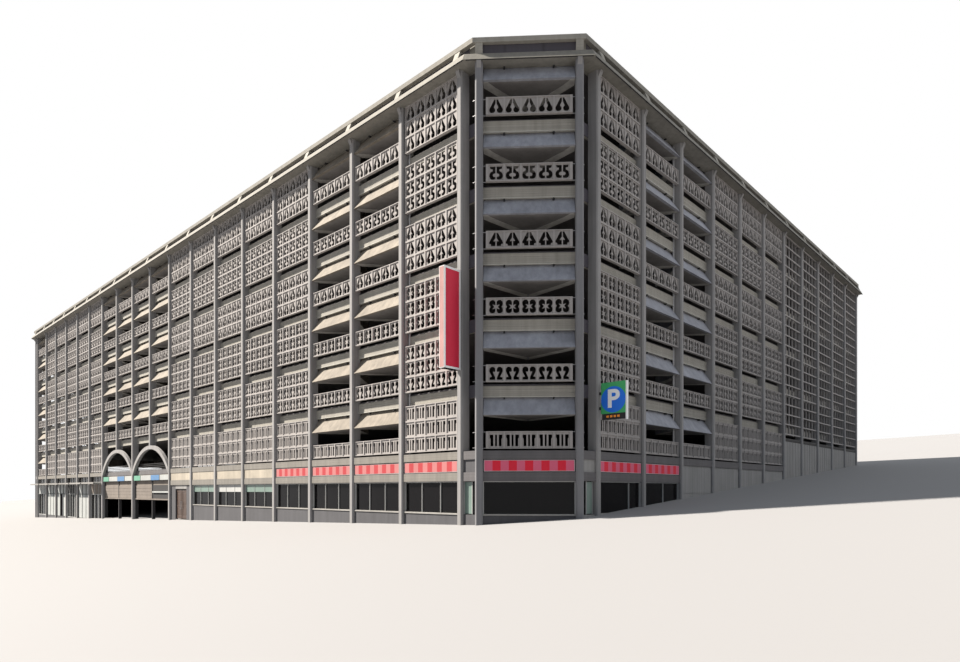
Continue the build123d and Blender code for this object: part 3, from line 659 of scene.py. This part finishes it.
class CARPARK_OT_panel_rods(bpy.types.Operator):
    """Short steel rods that hold each panel between its columns"""

    bl_idname = "carpark.panel_rods"
    bl_label = "Panel rods"

    def execute(self, context):
        bm = bmesh.new()
        grip, radius, depth = 0.002, 0.002, PANEL_SETBACK + 0.014
        for side, number, level, rows in panels(1, SCREEN_ROWS):
            width = panel_width(side)
            gap = (bay_clear(side) - width) / 2 + grip
            foot = rail_top(level) - RAIL_HEIGHT
            for end in (-1, 1):
                x = bay_middle(side, number) + end * (width + gap) / 2
                for height in (radius, rows * RAIL_HEIGHT - radius):
                    rod(bm, at(WALLS[side], x, foot + height, depth) @ ALONG_WALL, radius, gap)
        finished(bm, "panel_rods", ["grey metal"])
        return {"FINISHED"}


class CARPARK_OT_spandrels(bpy.types.Operator):
    """Board-marked deck edges with their ledges, between the columns"""

    bl_idname = "carpark.spandrels"
    bl_label = "Spandrels"

    def execute(self, context):
        board, ledge, painted_shade, shadow = range(4)
        # Drop below the rail's top, height, front, back and finish of each layer
        layers = (
            (0.1045, 0.0150, 0.0395, COLUMN_DEPTH, board), (0.1200, 0.0150, 0.0395, COLUMN_DEPTH, board),
            # The dark layer right under the rail and the thin strip in front of it stand for the shadow gap
            # between the rail and the boards: painted shadow.
            (0.1345, 0.0140, 0.0395, COLUMN_DEPTH, board), (0.0890, 0.0085, 0.0490, COLUMN_DEPTH, painted_shade),
            # The pale ledge strip stands for the ledge's lit top: painted highlight.
            (0.0868, 0.0030, 0.0470, 0.0490, shadow), (0.1380, 0.0030, 0.0385, COLUMN_DEPTH, ledge),
        )
        bm = bmesh.new()
        for side, number, level, _ in panels(1, SCREEN_ROWS):
            for drop, height, *rest in layers:
                x, bottom = bay_middle(side, number), rail_top(level) - drop
                block(bm, WALLS[side], x, bottom, bay_clear(side), height, *rest)
        materials = ["board concrete", "ledge concrete", "upstand concrete", "beam concrete"]
        finished(bm, "spandrel_boards", materials)
        return {"FINISHED"}


def soffit_plate(bm, wall, plan, thickness):
    """Thin plate under a hood, from its outline of places along and depths behind the wall."""
    corners = [bm.verts.new(wall @ Vector((x, -thickness, -depth))) for x, depth in plan]
    return corners + thicken(bm, [bm.faces.new(corners)], (0, 0, thickness))


class CARPARK_OT_hood_fixings(bpy.types.Operator):
    """Black fixings over the hoods, and the pale bands and darker plates under them, the darker plates being
    painted shade
    """

    bl_idname = "carpark.hood_fixings"
    bl_label = "Hood fixings"

    def execute(self, context):
        radius = context.scene.car_park.fixing_radius
        bolts, bands = bmesh.new(), bmesh.new()
        apart, drop, depth, length = 0.27, 0.1425, 0.048, 0.014
        band, edge, middle, margin = 0.020, HOOD_LIP + 0.014, 0.004, 0.0015
        band_thickness, soffit_thickness, soffit = 0.0008, 0.0006, 1
        for side, number, level, _ in panels(1):
            x, clear, top = bay_middle(side, number), bay_clear(side), rail_top(level + 1)
            for share in (-apart, apart):
                rod(bolts, at(WALLS[side], x + share * clear, top - drop, depth), radius, length, 8)
            half = clear / 2 - margin
            wall = at(WALLS[side], x, top - HOOD_DROP, 0)
            outline = (
                (half, HOOD_TOP), (middle, HOOD_REACH), (middle, HOOD_REACH - 0.054),
                (half - 0.050, HOOD_TOP), (half - band, edge), (half, edge),
            )
            for end in (-1, 1):
                plan = [(end * along, behind) for along, behind in outline]
                soffit_plate(bands, wall, plan, band_thickness)
            # The darker inner plate under each hood is painted shade.
            inner = ((half - band, edge + 0.002), (half - 0.052, HOOD_TOP), (0.003, HOOD_REACH - 0.057))
            inner += tuple((-along, behind) for along, behind in inner[::-1])
            give_finish(soffit_plate(bands, wall, inner, soffit_thickness), soffit)
        finished(bolts, "hood_fixings", ["dark metal"])
        bmesh.ops.recalc_face_normals(bands, faces=bands.faces)
        finished(bands, "hood_bands", ["band concrete", "soffit concrete"])
        return {"FINISHED"}


# Street storey
class CARPARK_OT_striped_boards(bpy.types.Operator):
    """Striped boards over the shop windows, in dark frames with pale edges, and the facings of their beams"""

    bl_idname = "carpark.striped_boards"
    bl_label = "Striped boards"

    def execute(self, context):
        stripes = context.scene.car_park.stripes
        red, frame_dark, edge_pale, plain, sunlit_red = 0, 2, 3, 4, 5
        low, height, back = 0.420, 0.056, 0.018
        dark_front, pale_front, stripe_front = 0.0125, 0.0110, 0.0104
        bm = bmesh.new()
        for side, number in [("left", n) for n in range(1, 9)] + [("right", 1), ("right", 2), ("near", 1)]:
            wall, x, clear = WALLS[side], bay_middle(side, number), bay_clear(side)
            if side == "left" and number > 4:
                block(bm, wall, x, low, clear, height, 0.010, back, plain)
                continue
            block(bm, wall, x, low, clear, height, dark_front, back, frame_dark)
            board = clear - 0.008
            block(bm, wall, x, low + 0.003, board, height - 0.006, pale_front, dark_front, edge_pale)
            stripe = (board - 0.005) / stripes
            # Boards on the sunlit left street take the duller lit copies of the red and pink: painted light.
            first = sunlit_red if side == "left" else red
            for i in range(stripes):
                middle = x + (i - (stripes - 1) / 2) * stripe
                shade = first + 1 - i % 2
                block(bm, wall, middle, low + 0.0055, stripe, height - 0.011, stripe_front, pale_front, shade)
        materials = [
            "board red", "board pink", "dark metal", "sign frame", "portal board",
            "faded board red", "faded board pink",
        ]
        finished(bm, "striped_boards", materials, ["sign_boards"])

        bm = bmesh.new()
        for number in [*range(1, 9), *SHOP_BAYS]:
            for bottom, tall in ((0.477, 0.035), (0.382, 0.037))[:2 if number < 9 else 1]:
                block(bm, WALLS["left"], bay_middle("left", number), bottom, CLEAR, tall, 0.0072, 0.0080)
        finished(bm, "beam_facings", ["pale beam"])
        return {"FINISHED"}


class CARPARK_OT_window_frames(bpy.types.Operator):
    """Pale frames, mullions and sills of the shop windows"""

    bl_idname = "carpark.window_frames"
    bl_label = "Window frames"

    def execute(self, context):
        white, green, sill = range(3)
        foot, head, bar, front = 0.234, 0.381, 0.004, 0.016
        upright = head - foot - 2 * bar
        bm = bmesh.new()
        windows = [("near", 1, ())] + [("left", n, (-0.17, 0.17)) for n in range(1, 8)]
        for side, number, mullions in windows + [("right", 1, (0.22,)), ("right", 2, (0.05,))]:
            wall, x, clear = WALLS[side], bay_middle(side, number), bay_clear(side)
            block(bm, wall, x, foot - 0.003, clear, bar + 0.003, 0.010, FRAME_BACK, sill)
            block(bm, wall, x, head - bar, clear, bar, front, FRAME_BACK)
            for end in (-1, 1):
                block(bm, wall, x + end * (clear - bar) / 2, foot + bar, bar, upright, front, FRAME_BACK)
            for share in mullions:
                block(bm, wall, x + share * clear, foot + bar, 0.003, upright, 0.018, FRAME_BACK)
            if side == "left" and number in (5, 6, 7):
                shade = white if number == 6 else green
                block(bm, wall, x, head - 0.050, clear - 2 * bar, 0.046, 0.020, GLASS_FRONT, shade)
        materials = ["white metal", "pale green", "canopy metal"]
        finished(bm, "window_frames", materials, bevel=0.0006)
        return {"FINISHED"}


class CARPARK_OT_window_linings(bpy.types.Operator):
    """Blinds seen behind the shop windows"""

    bl_idname = "carpark.window_linings"
    bl_label = "Window linings"

    def execute(self, context):
        bm = bmesh.new()
        # Width of each bay's blind and height of its foot over the sill
        blinds = ((0.30, 0.05), (0.18, 0.02), (0.26, 0.07), (0.20, 0.03), (0.30, 0.05))
        for i, (width, lift) in enumerate(blinds):
            x = bay_middle("left", i + 1)
            block(bm, WALLS["left"], x, 0.240 + lift, width, 0.120 - lift, 0.034, 0.036)
        finished(bm, "window_blinds", ["window blind"])
        return {"FINISHED"}


class CARPARK_OT_car_entrances(bpy.types.Operator):
    """Boards, plain coloured light boxes and jambs of the two car entrances"""

    bl_idname = "carpark.car_entrances"
    bl_label = "Car entrances"

    def execute(self, context):
        green, white, blue, dark = range(4)
        light_boxes = (
            (0.150, green), (0.010, dark), (0.230, white), (0.180, blue), (0.010, dark), (0.182, white),
        )
        foot, board_foot, board_pitch, box_foot, back = 0.078, 0.274, 0.028, 0.426, 0.028
        wall = WALLS["left"]
        boxes, boards, louvres = bmesh.new(), bmesh.new(), bmesh.new()
        for column in PORTAL_MIDDLES:
            x = column_x("left", column)
            start = x - PORTAL_WIDTH / 2 + 0.008
            for width, shade in light_boxes:
                block(boxes, wall, start + width / 2, box_foot, width - 0.002, 0.042, 0.008, 0.026, shade)
                start += width
            block(boxes, wall, x, box_foot - 0.004, PORTAL_WIDTH - 0.012, 0.004, 0.010, back, dark)
            width = PORTAL_WIDTH / 2 - 0.016
            for half in (-1, 1):
                middle = x + half * PORTAL_WIDTH / 4
                if column == PORTAL_MIDDLES[0] and half == 1:
                    # A dark block fills this half of the first entrance, standing for its shaded opening:
                    # painted shade.
                    block(boxes, wall, middle, board_foot, width, 4 * board_pitch, 0.0255, back, dark)
                    block(boxes, wall, middle, 0.322, width - 0.02, 0.012, 0.016, 0.024, white)
                    continue
                for row in range(4):
                    bottom = board_foot + row * board_pitch
                    block(boards, wall, middle, bottom, width, board_pitch - 0.0015, 0.0235, back)
            block(boards, wall, x, board_foot - 0.012, PORTAL_WIDTH, 0.011, 0.019, back)
            for step, jamb in ((-1, 0.012), (1, 0.012), (0, 0.014)):
                post = x + step * (PORTAL_WIDTH - jamb) / 2
                block(boxes, wall, post, foot, jamb, box_foot - 0.004 - foot, 0.022, 0.046, dark)
            for i in range(4):
                block(louvres, wall, x, 0.520 + 0.014 * i, PORTAL_WIDTH, 0.004, 0.030, 0.044)
        finished(boards, "portal_boards", ["brown board"], bevel=0.0008)
        materials = ["sign box green", "box white", "box blue", "dark metal"]
        finished(boxes, "portal_light_boxes", materials, bevel=0.0006)
        finished(louvres, "portal_louvres", ["dark metal"])
        return {"FINISHED"}


class CARPARK_OT_shopfronts(bpy.types.Operator):
    """Frames, panels and canopy edges of the shopfronts at the far end"""

    bl_idname = "carpark.shopfronts"
    bl_label = "Shopfronts"

    def execute(self, context):
        white, dark, brown, pale = range(4)
        foot, transom, head, bar, front = 0.052, 0.300, 0.410, 0.006, 0.014
        door_bay, door_width, blank_bays, shop_door_pane = 15, 0.100, (14, 16, 17), (16, 1)
        heads = {13: brown, door_bay: dark}
        wall = WALLS["left"]
        bm, edges = bmesh.new(), bmesh.new()
        for number in SHOP_BAYS:
            x = bay_middle("left", number)
            start = x - CLEAR / 2
            width = CLEAR - door_width if number == door_bay else CLEAR
            middle = start + width / 2
            shade, over_transom = dark if number in blank_bays else white, heads.get(number, pale)
            block(bm, wall, middle, foot, width, bar, front, FRAME_BACK, shade)
            block(bm, wall, x, head - bar, CLEAR, bar, front, FRAME_BACK, shade)
            for i in range(4):
                place = start + bar / 2 + i / 3 * (width - bar)
                block(bm, wall, place, foot + bar, bar, head - foot - 2 * bar, front, FRAME_BACK, shade)
            block(bm, wall, middle, transom, width, bar, front + 0.001, FRAME_BACK, shade)
            for third in range(3):
                place, pane = start + (third + 0.5) * width / 3, width / 3 - bar
                block(bm, wall, place, transom + bar, pane, 0.098, 0.018, GLASS_FRONT, over_transom)
                if number in blank_bays and (number, third) != shop_door_pane:
                    block(bm, wall, place, foot + bar, pane, transom - foot - bar, 0.0165, 0.0180, pale)
            block(bm, wall, x, 0.420, CLEAR, 0.003, 0.016, FRAME_BACK)
            for share in (-0.25, 0, 0.25):
                block(bm, wall, x + share * CLEAR, 0.420, 0.003, 0.055, 0.018, FRAME_BACK)
            block(edges, wall, x, 0.405, CLEAR, 0.015, -0.070, -0.066)
            for share in (-0.5, -0.25, 0, 0.25, 0.5):
                block(edges, wall, x + share * (CLEAR - 0.004), 0.406, 0.003, 0.004, -0.066, 0.014)
        materials = ["white metal", "dark metal", "brown board", "box white"]
        finished(bm, "shopfront_frames", materials, bevel=0.0006)
        finished(edges, "canopy_edges", ["canopy metal"], bevel=0.0006)
        return {"FINISHED"}


# Doors
def bar_handle(name, body, place, radius, length, stub_radius, reach):
    """Upright bar handle on two stubs, its middle at a place on the wall."""
    bm = bmesh.new()
    rod(bm, place @ UPRIGHT, radius, length, 10)
    for step in (-reach, reach):
        rod(bm, place @ Matrix.Translation((0, step, -0.003)), stub_radius, 0.007, 8)
    finished(bm, name, ["grey metal"], body=body)


class CARPARK_OT_entrance_door(bpy.types.Operator):
    """Panelled leaves of the entrance door, with their handles"""

    bl_idname = "carpark.entrance_door"
    bl_label = "Entrance door"

    def execute(self, context):
        wall, foot, front, back = WALLS["left"], 0.123, 0.0222, 0.024
        for side, name in ((1, "right"), (-1, "left")):
            body = f"entrance_leaf_{name}"
            x = bay_middle("left", 8) + side * 0.050
            bm = bmesh.new()
            for edge in (-1, 1):
                block(bm, wall, x + edge * 0.041, foot + 0.002, 0.012, 0.221, front, back)
            for low, tall in ((0.002, 0.022), (0.092, 0.014), (0.205, 0.018)):
                block(bm, wall, x, foot + low, 0.070, tall, front, back)
            for low, tall in ((0.030, 0.056), (0.112, 0.087)):
                panel = block(bm, wall, x, foot + low, 0.058, tall, 0.0230, back)
                faces = {face for vert in panel for face in vert.link_faces if face.normal.x < -0.5}
                bmesh.ops.inset_region(bm, faces=list(faces), thickness=0.006, depth=0.0006)
            finished(bm, f"entrance_panels_{name}", ["brown door"], body=body, bevel=0.0004)
            place = at(wall, x - side * 0.038, foot + 0.105, 0.0165)
            bar_handle(f"entrance_handle_{name}", body, place, 0.0016, 0.062, 0.0012, 0.025)
        return {"FINISHED"}


class CARPARK_OT_shop_door(bpy.types.Operator):
    """Framed glass shop door on its pins, with its handle"""

    bl_idname = "carpark.shop_door"
    bl_label = "Shop door"

    def execute(self, context):
        wall, x = WALLS["left"], bay_middle("left", 15) + CLEAR / 2 - 0.046
        low, tall, wide, bar = 0.061, 0.215, 0.082, 0.008
        kick, rail, rail_foot = 0.016, 0.006, 0.085
        front, back, pane = 0.024, 0.029, wide - 2 * bar
        bm = bmesh.new()
        for edge in (-1, 1):
            block(bm, wall, x + edge * (wide - bar) / 2, low, bar, tall, front, back)
        for bottom, height in ((0, kick), (tall - bar, bar), (rail_foot, rail)):
            block(bm, wall, x, low + bottom, pane, height, front, back)
        for height in (low - 0.0017, low + tall + 0.0018):
            rod(bm, at(wall, x + wide / 2 - 0.0025, height, 0.0265) @ UPRIGHT, 0.0015, 0.0055, 12)
        finished(
            bm, "shop_door_frame", ["white metal"], ["shop_door"], "shop_leaf", 0.0005
        )
        bm = bmesh.new()
        for bottom, top in ((kick, rail_foot), (rail_foot + rail, tall - bar)):
            block(bm, wall, x, low + bottom, pane, top - bottom, 0.0258, 0.0272)
        finished(bm, "shop_door_glass", ["shop glass"], body="shop_leaf")
        place = at(wall, x - wide / 2 + 0.004, low + 0.105, 0.0175)
        bar_handle("shop_door_handle", "shop_leaf", place, 0.0013, 0.05, 0.001, 0.020)
        return {"FINISHED"}


# Plain walls, pipes and roof edge
class CARPARK_OT_street_boards(bpy.types.Operator):
    """Boards of the closed street walls: upright ones under a dark strip, or three level ones"""

    bl_idname = "carpark.street_boards"
    bl_label = "Street boards"

    def execute(self, context):
        bm = bmesh.new()
        boards, foot, tall = 12, 0.060, 0.636
        pitch = CLEAR / boards
        for number in range(7, 12):
            x = bay_middle("right", number)
            for i in range(boards):
                place, front = x + (i - (boards - 1) / 2) * pitch, 0.0095 + 0.0008 * (i % 2)
                block(bm, WALLS["right"], place, foot, pitch - 0.0014, tall, front, RECESS_BACK)
            block(bm, WALLS["right"], x, foot + tall + 0.002, CLEAR, 0.020, 0.0105, RECESS_BACK, 1)
        for side, numbers in (("right", range(3, 7)), ("back", range(1, 12))):
            for number in numbers:
                for bottom in (0.030, 0.178, 0.326):
                    x = bay_middle(side, number)
                    block(bm, WALLS[side], x, bottom, CLEAR - 0.010, 0.140, 0.0115, RECESS_BACK)
        finished(bm, "street_boards", ["street concrete", "dark metal"], bevel=0.0006)
        return {"FINISHED"}


class CARPARK_OT_rain_pipes(bpy.types.Operator):
    """Rainwater pipes behind the screens, each with its clips"""

    bl_idname = "carpark.rain_pipes"
    bl_label = "Rainwater pipes"

    def execute(self, context):
        bm = bmesh.new()
        low, high, depth = 0.515, 2.180, 0.040
        # Wall, column, and side of the column on which the pipe lies
        pipes = (("left", 1, 1), ("left", 8, -1), ("right", 2, -1), ("back", 4, 1), ("back", 9, 1))
        for side, column, end in pipes:
            x = column_x(side, column) + end * (COLUMN_WIDTH / 2 + 0.010)
            rod(bm, at(WALLS[side], x, (low + high) / 2, depth) @ UPRIGHT, 0.0055, high - low, 12)
            for level in LEVELS:
                rod(bm, at(WALLS[side], x, rail_top(level) + 0.03, depth) @ UPRIGHT, 0.0068, 0.006, 12)
        finished(bm, "rainwater_pipes", ["grey metal"])
        return {"FINISHED"}


class CARPARK_OT_corner_slots(bpy.types.Operator):
    """Pale panes and short steel brackets between the corner columns and the street piers"""

    bl_idname = "carpark.corner_slots"
    bl_label = "Corner slots"

    def execute(self, context):
        green, white, painted_shade = range(3)
        rods, panes = bmesh.new(), bmesh.new()
        overlap, pane, bar = 0.002, 0.044, 0.003
        left_low, left_high = LEFT_CUT + 0.010, LEFT_CORNER_RUN - COLUMN_WIDTH / 2 + overlap
        right_low, right_high = RIGHT_CUT + 0.010, RIGHT_CORNER_RUN - COLUMN_WIDTH / 2 + overlap
        # Wall, both ends, side of the slot on which the corner lies, and whether it has a pane
        slots = (
            ("left", LENGTH_Y - left_high, LENGTH_Y - left_low, 1, True),
            ("right", right_low, right_high, -1, True),
            ("left", left_low, left_high, -1, False),
            ("back", LENGTH_X - right_high, LENGTH_X - right_low, 1, False),
        )
        for side, start, stop, corner, glazed in slots:
            wall, middle = WALLS[side], (start + stop) / 2
            for level in LEVELS:
                for drop in (0.004, 0.071):
                    x = (stop if corner > 0 else start) - corner * 0.010
                    rod(rods, at(wall, x, rail_top(level) - drop, 0.018) @ ALONG_WALL, 0.0013, 0.020)
            if glazed:
                x = middle - corner * 0.012
                block(panes, wall, x, 0.238, pane, 0.140, 0.0215, 0.024, green)
                for end in (-1, 1):
                    block(panes, wall, x + end * (pane + bar) / 2, 0.236, bar, 0.144, 0.019, 0.024, white)
            # Dark plates over the spandrel ends in each slot stand for the slot's shade: painted shade.
            for level in range(1, STOREYS + 2):
                bottom = rail_top(level) - 0.136
                block(panes, wall, middle, bottom, stop - start, 0.057, 0.048, 0.050, painted_shade)
        finished(rods, "slot_rods", ["grey metal"])
        finished(panes, "slot_panes", ["pale green", "white metal", "upstand concrete"])
        return {"FINISHED"}


class CARPARK_OT_roof_edge(bpy.types.Operator):
    """Dark edge under the cornice and the boards of the gap over it"""

    bl_idname = "carpark.roof_edge"
    bl_label = "Roof edge"

    def execute(self, context):
        bm = bmesh.new()
        bottom = rail_top(STOREYS) + 2 * RAIL_HEIGHT
        end = RIGHT_CUT + 0.030
        spans = (
            ("left", LENGTH_Y / 2, LENGTH_Y - 2 * LEFT_CUT - 0.070),
            ("right", (LENGTH_X + end) / 2, LENGTH_X - end),
            ("back", (LENGTH_X - end) / 2, LENGTH_X - end),
            ("near", CORNER_LENGTH / 2, CORNER_LENGTH + 0.080),
            ("far", CORNER_LENGTH / 2, CORNER_LENGTH + 0.080),
        )
        for side, middle, length in spans:
            reach, margin = (0.0135, 0.100) if side in CORNERS else (0.045, 0.030)
            block(bm, WALLS[side], middle, bottom - 0.0022, length, 0.0022, -reach + 0.001, -reach + 0.005)
            block(bm, WALLS[side], middle, bottom + 0.035, length - margin, 0.058, 0.0184, 0.020, 1)
        finished(bm, "cornice_edges", ["dark metal", "upstand concrete"])
        return {"FINISHED"}


# Signs
class CARPARK_OT_tall_sign(bpy.types.Operator):
    """Bare red box sign on the left street's pier"""

    bl_idname = "carpark.tall_sign"
    bl_label = "Tall sign"

    def execute(self, context):
        red, edge, dark, faded, white = range(5)
        bm = bmesh.new()
        wall, x = WALLS["left"], column_x("left", 0)
        low, high, out, thick = 0.870, 1.310, 0.105, 0.032
        bar, strip, inner = 0.006, 0.009, -0.006
        tall = high - low
        block(bm, wall, x, low, thick - 0.003, tall, -out + 0.003, -0.008, red)
        # The frame's edges take the dimmer sign frame and its flat sides the whiter sign white: lit and
        # shaded copies of one white frame, the dimmer one for the edges in the sun.
        for bottom in (low, high - bar):
            block(bm, wall, x, bottom, thick, bar, -out, inner, edge)
        for front in (-out, inner - bar):
            block(bm, wall, x, low + bar, thick, tall - 2 * bar, front, front + bar, edge)
        block(bm, wall, x, low + 0.004, thick - 0.007, tall - 0.008, -out - 0.0006, -out, faded)
        for side in (-1, 1):
            face = x + side * (thick / 2 - 0.0002)
            for bottom in (low, high - strip):
                block(bm, wall, face, bottom, 0.0014, strip, -out + 0.0004, inner, white)
            for front in (-out + 0.0004, inner - 0.008):
                block(bm, wall, face, low + strip, 0.0014, tall - 2 * strip, front, front + 0.008, white)
        for bottom in (low + 0.06, high - 0.09):
            block(bm, wall, x, bottom, 0.012, 0.03, -0.010, 0.002, dark)
        materials = ["sign red", "sign frame", "dark metal", "faded red", "sign white"]
        finished(bm, "red_box_sign", materials, ["tall_sign"])
        return {"FINISHED"}


def letter_mesh(text, size, weight, depth):
    """Flat-backed mesh of a letter, centred on its place."""
    letter = bpy.data.curves.new("letter", "FONT")
    letter.body = text
    letter.align_x = "CENTER"
    letter.align_y = "CENTER"
    letter.size = size
    letter.offset = weight
    letter.extrude = depth
    template = bpy.data.objects.new("letter", letter)
    mesh = bpy.data.meshes.new_from_object(template)
    bpy.data.objects.remove(template)
    return mesh


class CARPARK_OT_parking_sign(bpy.types.Operator):
    """Parking sign on the right street's pier, with a plain display under its letter"""

    bl_idname = "carpark.parking_sign"
    bl_label = "Parking sign"

    def execute(self, context):
        green, white, dark, blue, orange = range(5)
        bm, letters = bmesh.new(), bmesh.new()
        wall, x = WALLS["right"], column_x("right", 0)
        low, high, out, thick = 0.646, 0.812, 0.140, 0.012
        edge, foot, raised = 0.006, 0.030, 0.0008
        badge_depth, badge_height, badge_size = 0.073, 0.736, (0.061, 0.057, 1, 1)
        lifted = Matrix.Translation((0, 0, 0.0012)) @ Matrix.Diagonal((1.12, 1, 1, 1))
        block(bm, wall, x, low + foot, thick, high - low - foot, -out + edge, -0.012, green)
        block(bm, wall, x, low, thick, high - low, -out, -out + edge, white)
        block(bm, wall, x, low + 0.004, thick - 0.002, foot - 0.004, -out + edge, -0.016, dark)
        for bottom in (low + 0.05, high - 0.05):
            block(bm, wall, x, bottom, 0.008, 0.012, -0.012, 0.002, dark)
        letter = letter_mesh("P", 0.108, 0.0030, raised)
        for side in (-1, 1):
            face = at(wall, x + side * thick / 2, 0, 0) @ Matrix.Rotation(side * math.pi / 2, 4, "Y")
            middle = face @ Matrix.Translation((-side * badge_depth, badge_height, 0))
            oval = middle @ Matrix.Diagonal(badge_size)
            badge = bmesh.ops.create_circle(bm, cap_ends=True, segments=40, radius=1, matrix=oval)
            shift = face.to_3x3() @ Vector((0, 0, raised))
            give_finish(thicken(bm, badge["verts"][0].link_faces, shift), blue)
            for i in range(4):
                mark = Matrix.Translation((-side * (0.045 + i * 0.018), low + 0.017, 0.0002))
                size = Matrix.Diagonal((0.011, 0.009, 0.002, 1))
                made = bmesh.ops.create_cube(bm, size=1, matrix=face @ mark @ size)
                give_finish(made["verts"], orange)
            stamp(letters, letter, [middle @ lifted])
        bmesh.ops.recalc_face_normals(bm, faces=bm.faces)
        materials = ["sign green", "sign white", "dark metal", "sign blue", "display orange"]
        finished(bm, "parking_box_sign", materials, ["parking_sign"])
        bmesh.ops.remove_doubles(letters, verts=letters.verts, dist=1e-6)
        finished(letters, "parking_letters", ["sign white"])
        return {"FINISHED"}


# Finish of each material slot that has another name, and of each node that differs from its slot
SLOT_FINISHES = {"striped_board": "board red", "red_sign": "sign red", "parking_sign_face": "sign green"}
NODE_FINISHES = {
    "first_floor_beams": "beam concrete", "shop_beams": "beam concrete",
    "street_walls_corners": "plinth concrete", "street_walls_left": "plinth concrete",
    # The corner columns take the darker corner concrete: painted shade.
    "columns_corners": "corner concrete", "canopies": "canopy metal", "portal_headers": "brown board",
    # The hoods of the left and back streets take the warm lit copy of the hood concrete: painted light.
    "hoods_left": "sunny hood", "hoods_back": "sunny hood",
    "cornice_streets": "roof concrete", "roof_rail_streets": "roof concrete",
    # The corner cornice takes the darker roof concrete where the sun would light it: painted shade.
    "cornice_corners": "roof concrete",
}


class CARPARK_OT_finishes(bpy.types.Operator):
    """Finishes of every frame node"""

    bl_idname = "carpark.finishes"
    bl_label = "Finishes"

    def execute(self, context):
        for part in frame["record"]["subparts"]:
            slot = part["material_slot"]
            usual = SLOT_FINISHES.get(slot, slot.replace("_", " "))
            materials = frame["nodes"][part["node"]].data.materials
            materials.clear()
            materials.append(finish(NODE_FINISHES.get(part["node"], usual)))
        return {"FINISHED"}


class CARPARK_OT_stage(bpy.types.Operator):
    """Pale sloping street, sun, soft light and camera"""

    bl_idname = "carpark.stage"
    bl_label = "Stage"

    def execute(self, context):
        scene = context.scene
        height, slope_x, slope_y = 0.2907, 0.0785, -0.024
        material, tree, surface, _ = new_material("pale street", 0.9)
        surface["Base Color"].default_value = (0.23, 0.23, 0.235, 1)
        bm = bmesh.new()
        for vert in bmesh.ops.create_grid(bm, x_segments=1, y_segments=1, size=60)["verts"]:
            vert.co.z = height + slope_x * vert.co.x + slope_y * vert.co.y
        mesh = as_mesh(bm, "street")
        mesh.materials.append(material)
        floor = bpy.data.objects.new("street", mesh)
        scene.collection.objects.link(floor)

        world = bpy.data.worlds.new("studio")
        world.use_nodes = True
        scene.world = world
        tree = world.node_tree
        tree.nodes.clear()
        path = tree.nodes.new("ShaderNodeLightPath").outputs
        seen = calculated(tree, "ADD", path["Is Camera Ray"], path["Is Glossy Ray"], clamp=True)
        seen = calculated(tree, "ADD", seen, path["Is Transmission Ray"], clamp=True)
        both = tree.nodes.new("ShaderNodeMixShader")
        feed(tree, seen, both.inputs["Fac"])
        for i, (colour, strength) in enumerate((((0.76, 0.86, 1.0, 1), 0.45), ((1, 1, 1, 1), 1.0))):
            backdrop = tree.nodes.new("ShaderNodeBackground")
            feed(tree, colour, backdrop.inputs["Color"])
            feed(tree, strength, backdrop.inputs["Strength"])
            feed(tree, backdrop.outputs[0], both.inputs[i + 1])
        feed(tree, both.outputs[0], tree.nodes.new("ShaderNodeOutputWorld").inputs["Surface"])

        for name, energy, angle, colour, towards in (
            ("key", 13.2, 2, (1.0, 0.92, 0.82), (-1.0, 1.4, 1.6)),
            ("fill", 0.9, 60, (1.0, 0.97, 0.93), (0.9, -1.0, 0.35)),
        ):
            sun = bpy.data.lights.new(name, "SUN")
            sun.energy = energy
            sun.angle = math.radians(angle)
            sun.color = colour
            lamp = bpy.data.objects.new(name, sun)
            lamp.rotation_euler = Vector(towards).to_track_quat("Z", "Y").to_euler()
            scene.collection.objects.link(lamp)

        view = bpy.data.cameras.new("camera")
        view.lens = 24.051
        view.sensor_width = 36
        view.shift_y = 0.1662
        view.clip_start = 0.01
        view.clip_end = 300
        camera = bpy.data.objects.new("camera", view)
        camera.location = (-4.4551, -5.6573, 0.340)
        heading = math.radians(43.1816)
        backward = Vector((-math.cos(heading), -math.sin(heading), 0))
        camera.rotation_euler = backward.to_track_quat("Z", "Y").to_euler()
        scene.collection.objects.link(camera)
        scene.camera = camera
        scene.view_settings.view_transform = "Standard"
        return {"FINISHED"}


class CARPARK_PT_panel(bpy.types.Panel):
    """Car park tools in the sidebar"""

    bl_idname = "CARPARK_PT_panel"
    bl_label = "Car Park"
    bl_space_type = "VIEW_3D"
    bl_region_type = "UI"
    bl_category = "Car Park"

    def draw(self, context):
        for name in CarParkSettings.__annotations__:
            self.layout.prop(context.scene.car_park, name)
        for operator in OPERATORS:
            self.layout.operator(operator.bl_idname)


OPERATORS = (
    CARPARK_OT_finishes,
    CARPARK_OT_numeral_panels,
    CARPARK_OT_panel_rods,
    CARPARK_OT_spandrels,
    CARPARK_OT_hood_fixings,
    CARPARK_OT_striped_boards,
    CARPARK_OT_window_frames,
    CARPARK_OT_window_linings,
    CARPARK_OT_car_entrances,
    CARPARK_OT_shopfronts,
    CARPARK_OT_entrance_door,
    CARPARK_OT_shop_door,
    CARPARK_OT_street_boards,
    CARPARK_OT_rain_pipes,
    CARPARK_OT_corner_slots,
    CARPARK_OT_roof_edge,
    CARPARK_OT_tall_sign,
    CARPARK_OT_parking_sign,
    CARPARK_OT_stage,
)
CLASSES = (CarParkSettings, *OPERATORS, CARPARK_PT_panel)


def register():
    """Registers the classes and the settings."""
    for each in CLASSES:
        bpy.utils.register_class(each)
    bpy.types.Scene.car_park = bpy.props.PointerProperty(type=CarParkSettings)


def unregister():
    """Removes the settings and the classes."""
    del bpy.types.Scene.car_park
    for each in reversed(CLASSES):
        bpy.utils.unregister_class(each)


def main():
    """Makes every piece."""
    register()
    for operator in OPERATORS:
        family, name = operator.bl_idname.split(".")
        getattr(getattr(bpy.ops, family), name)()


if __name__ == "__main__":
    main()
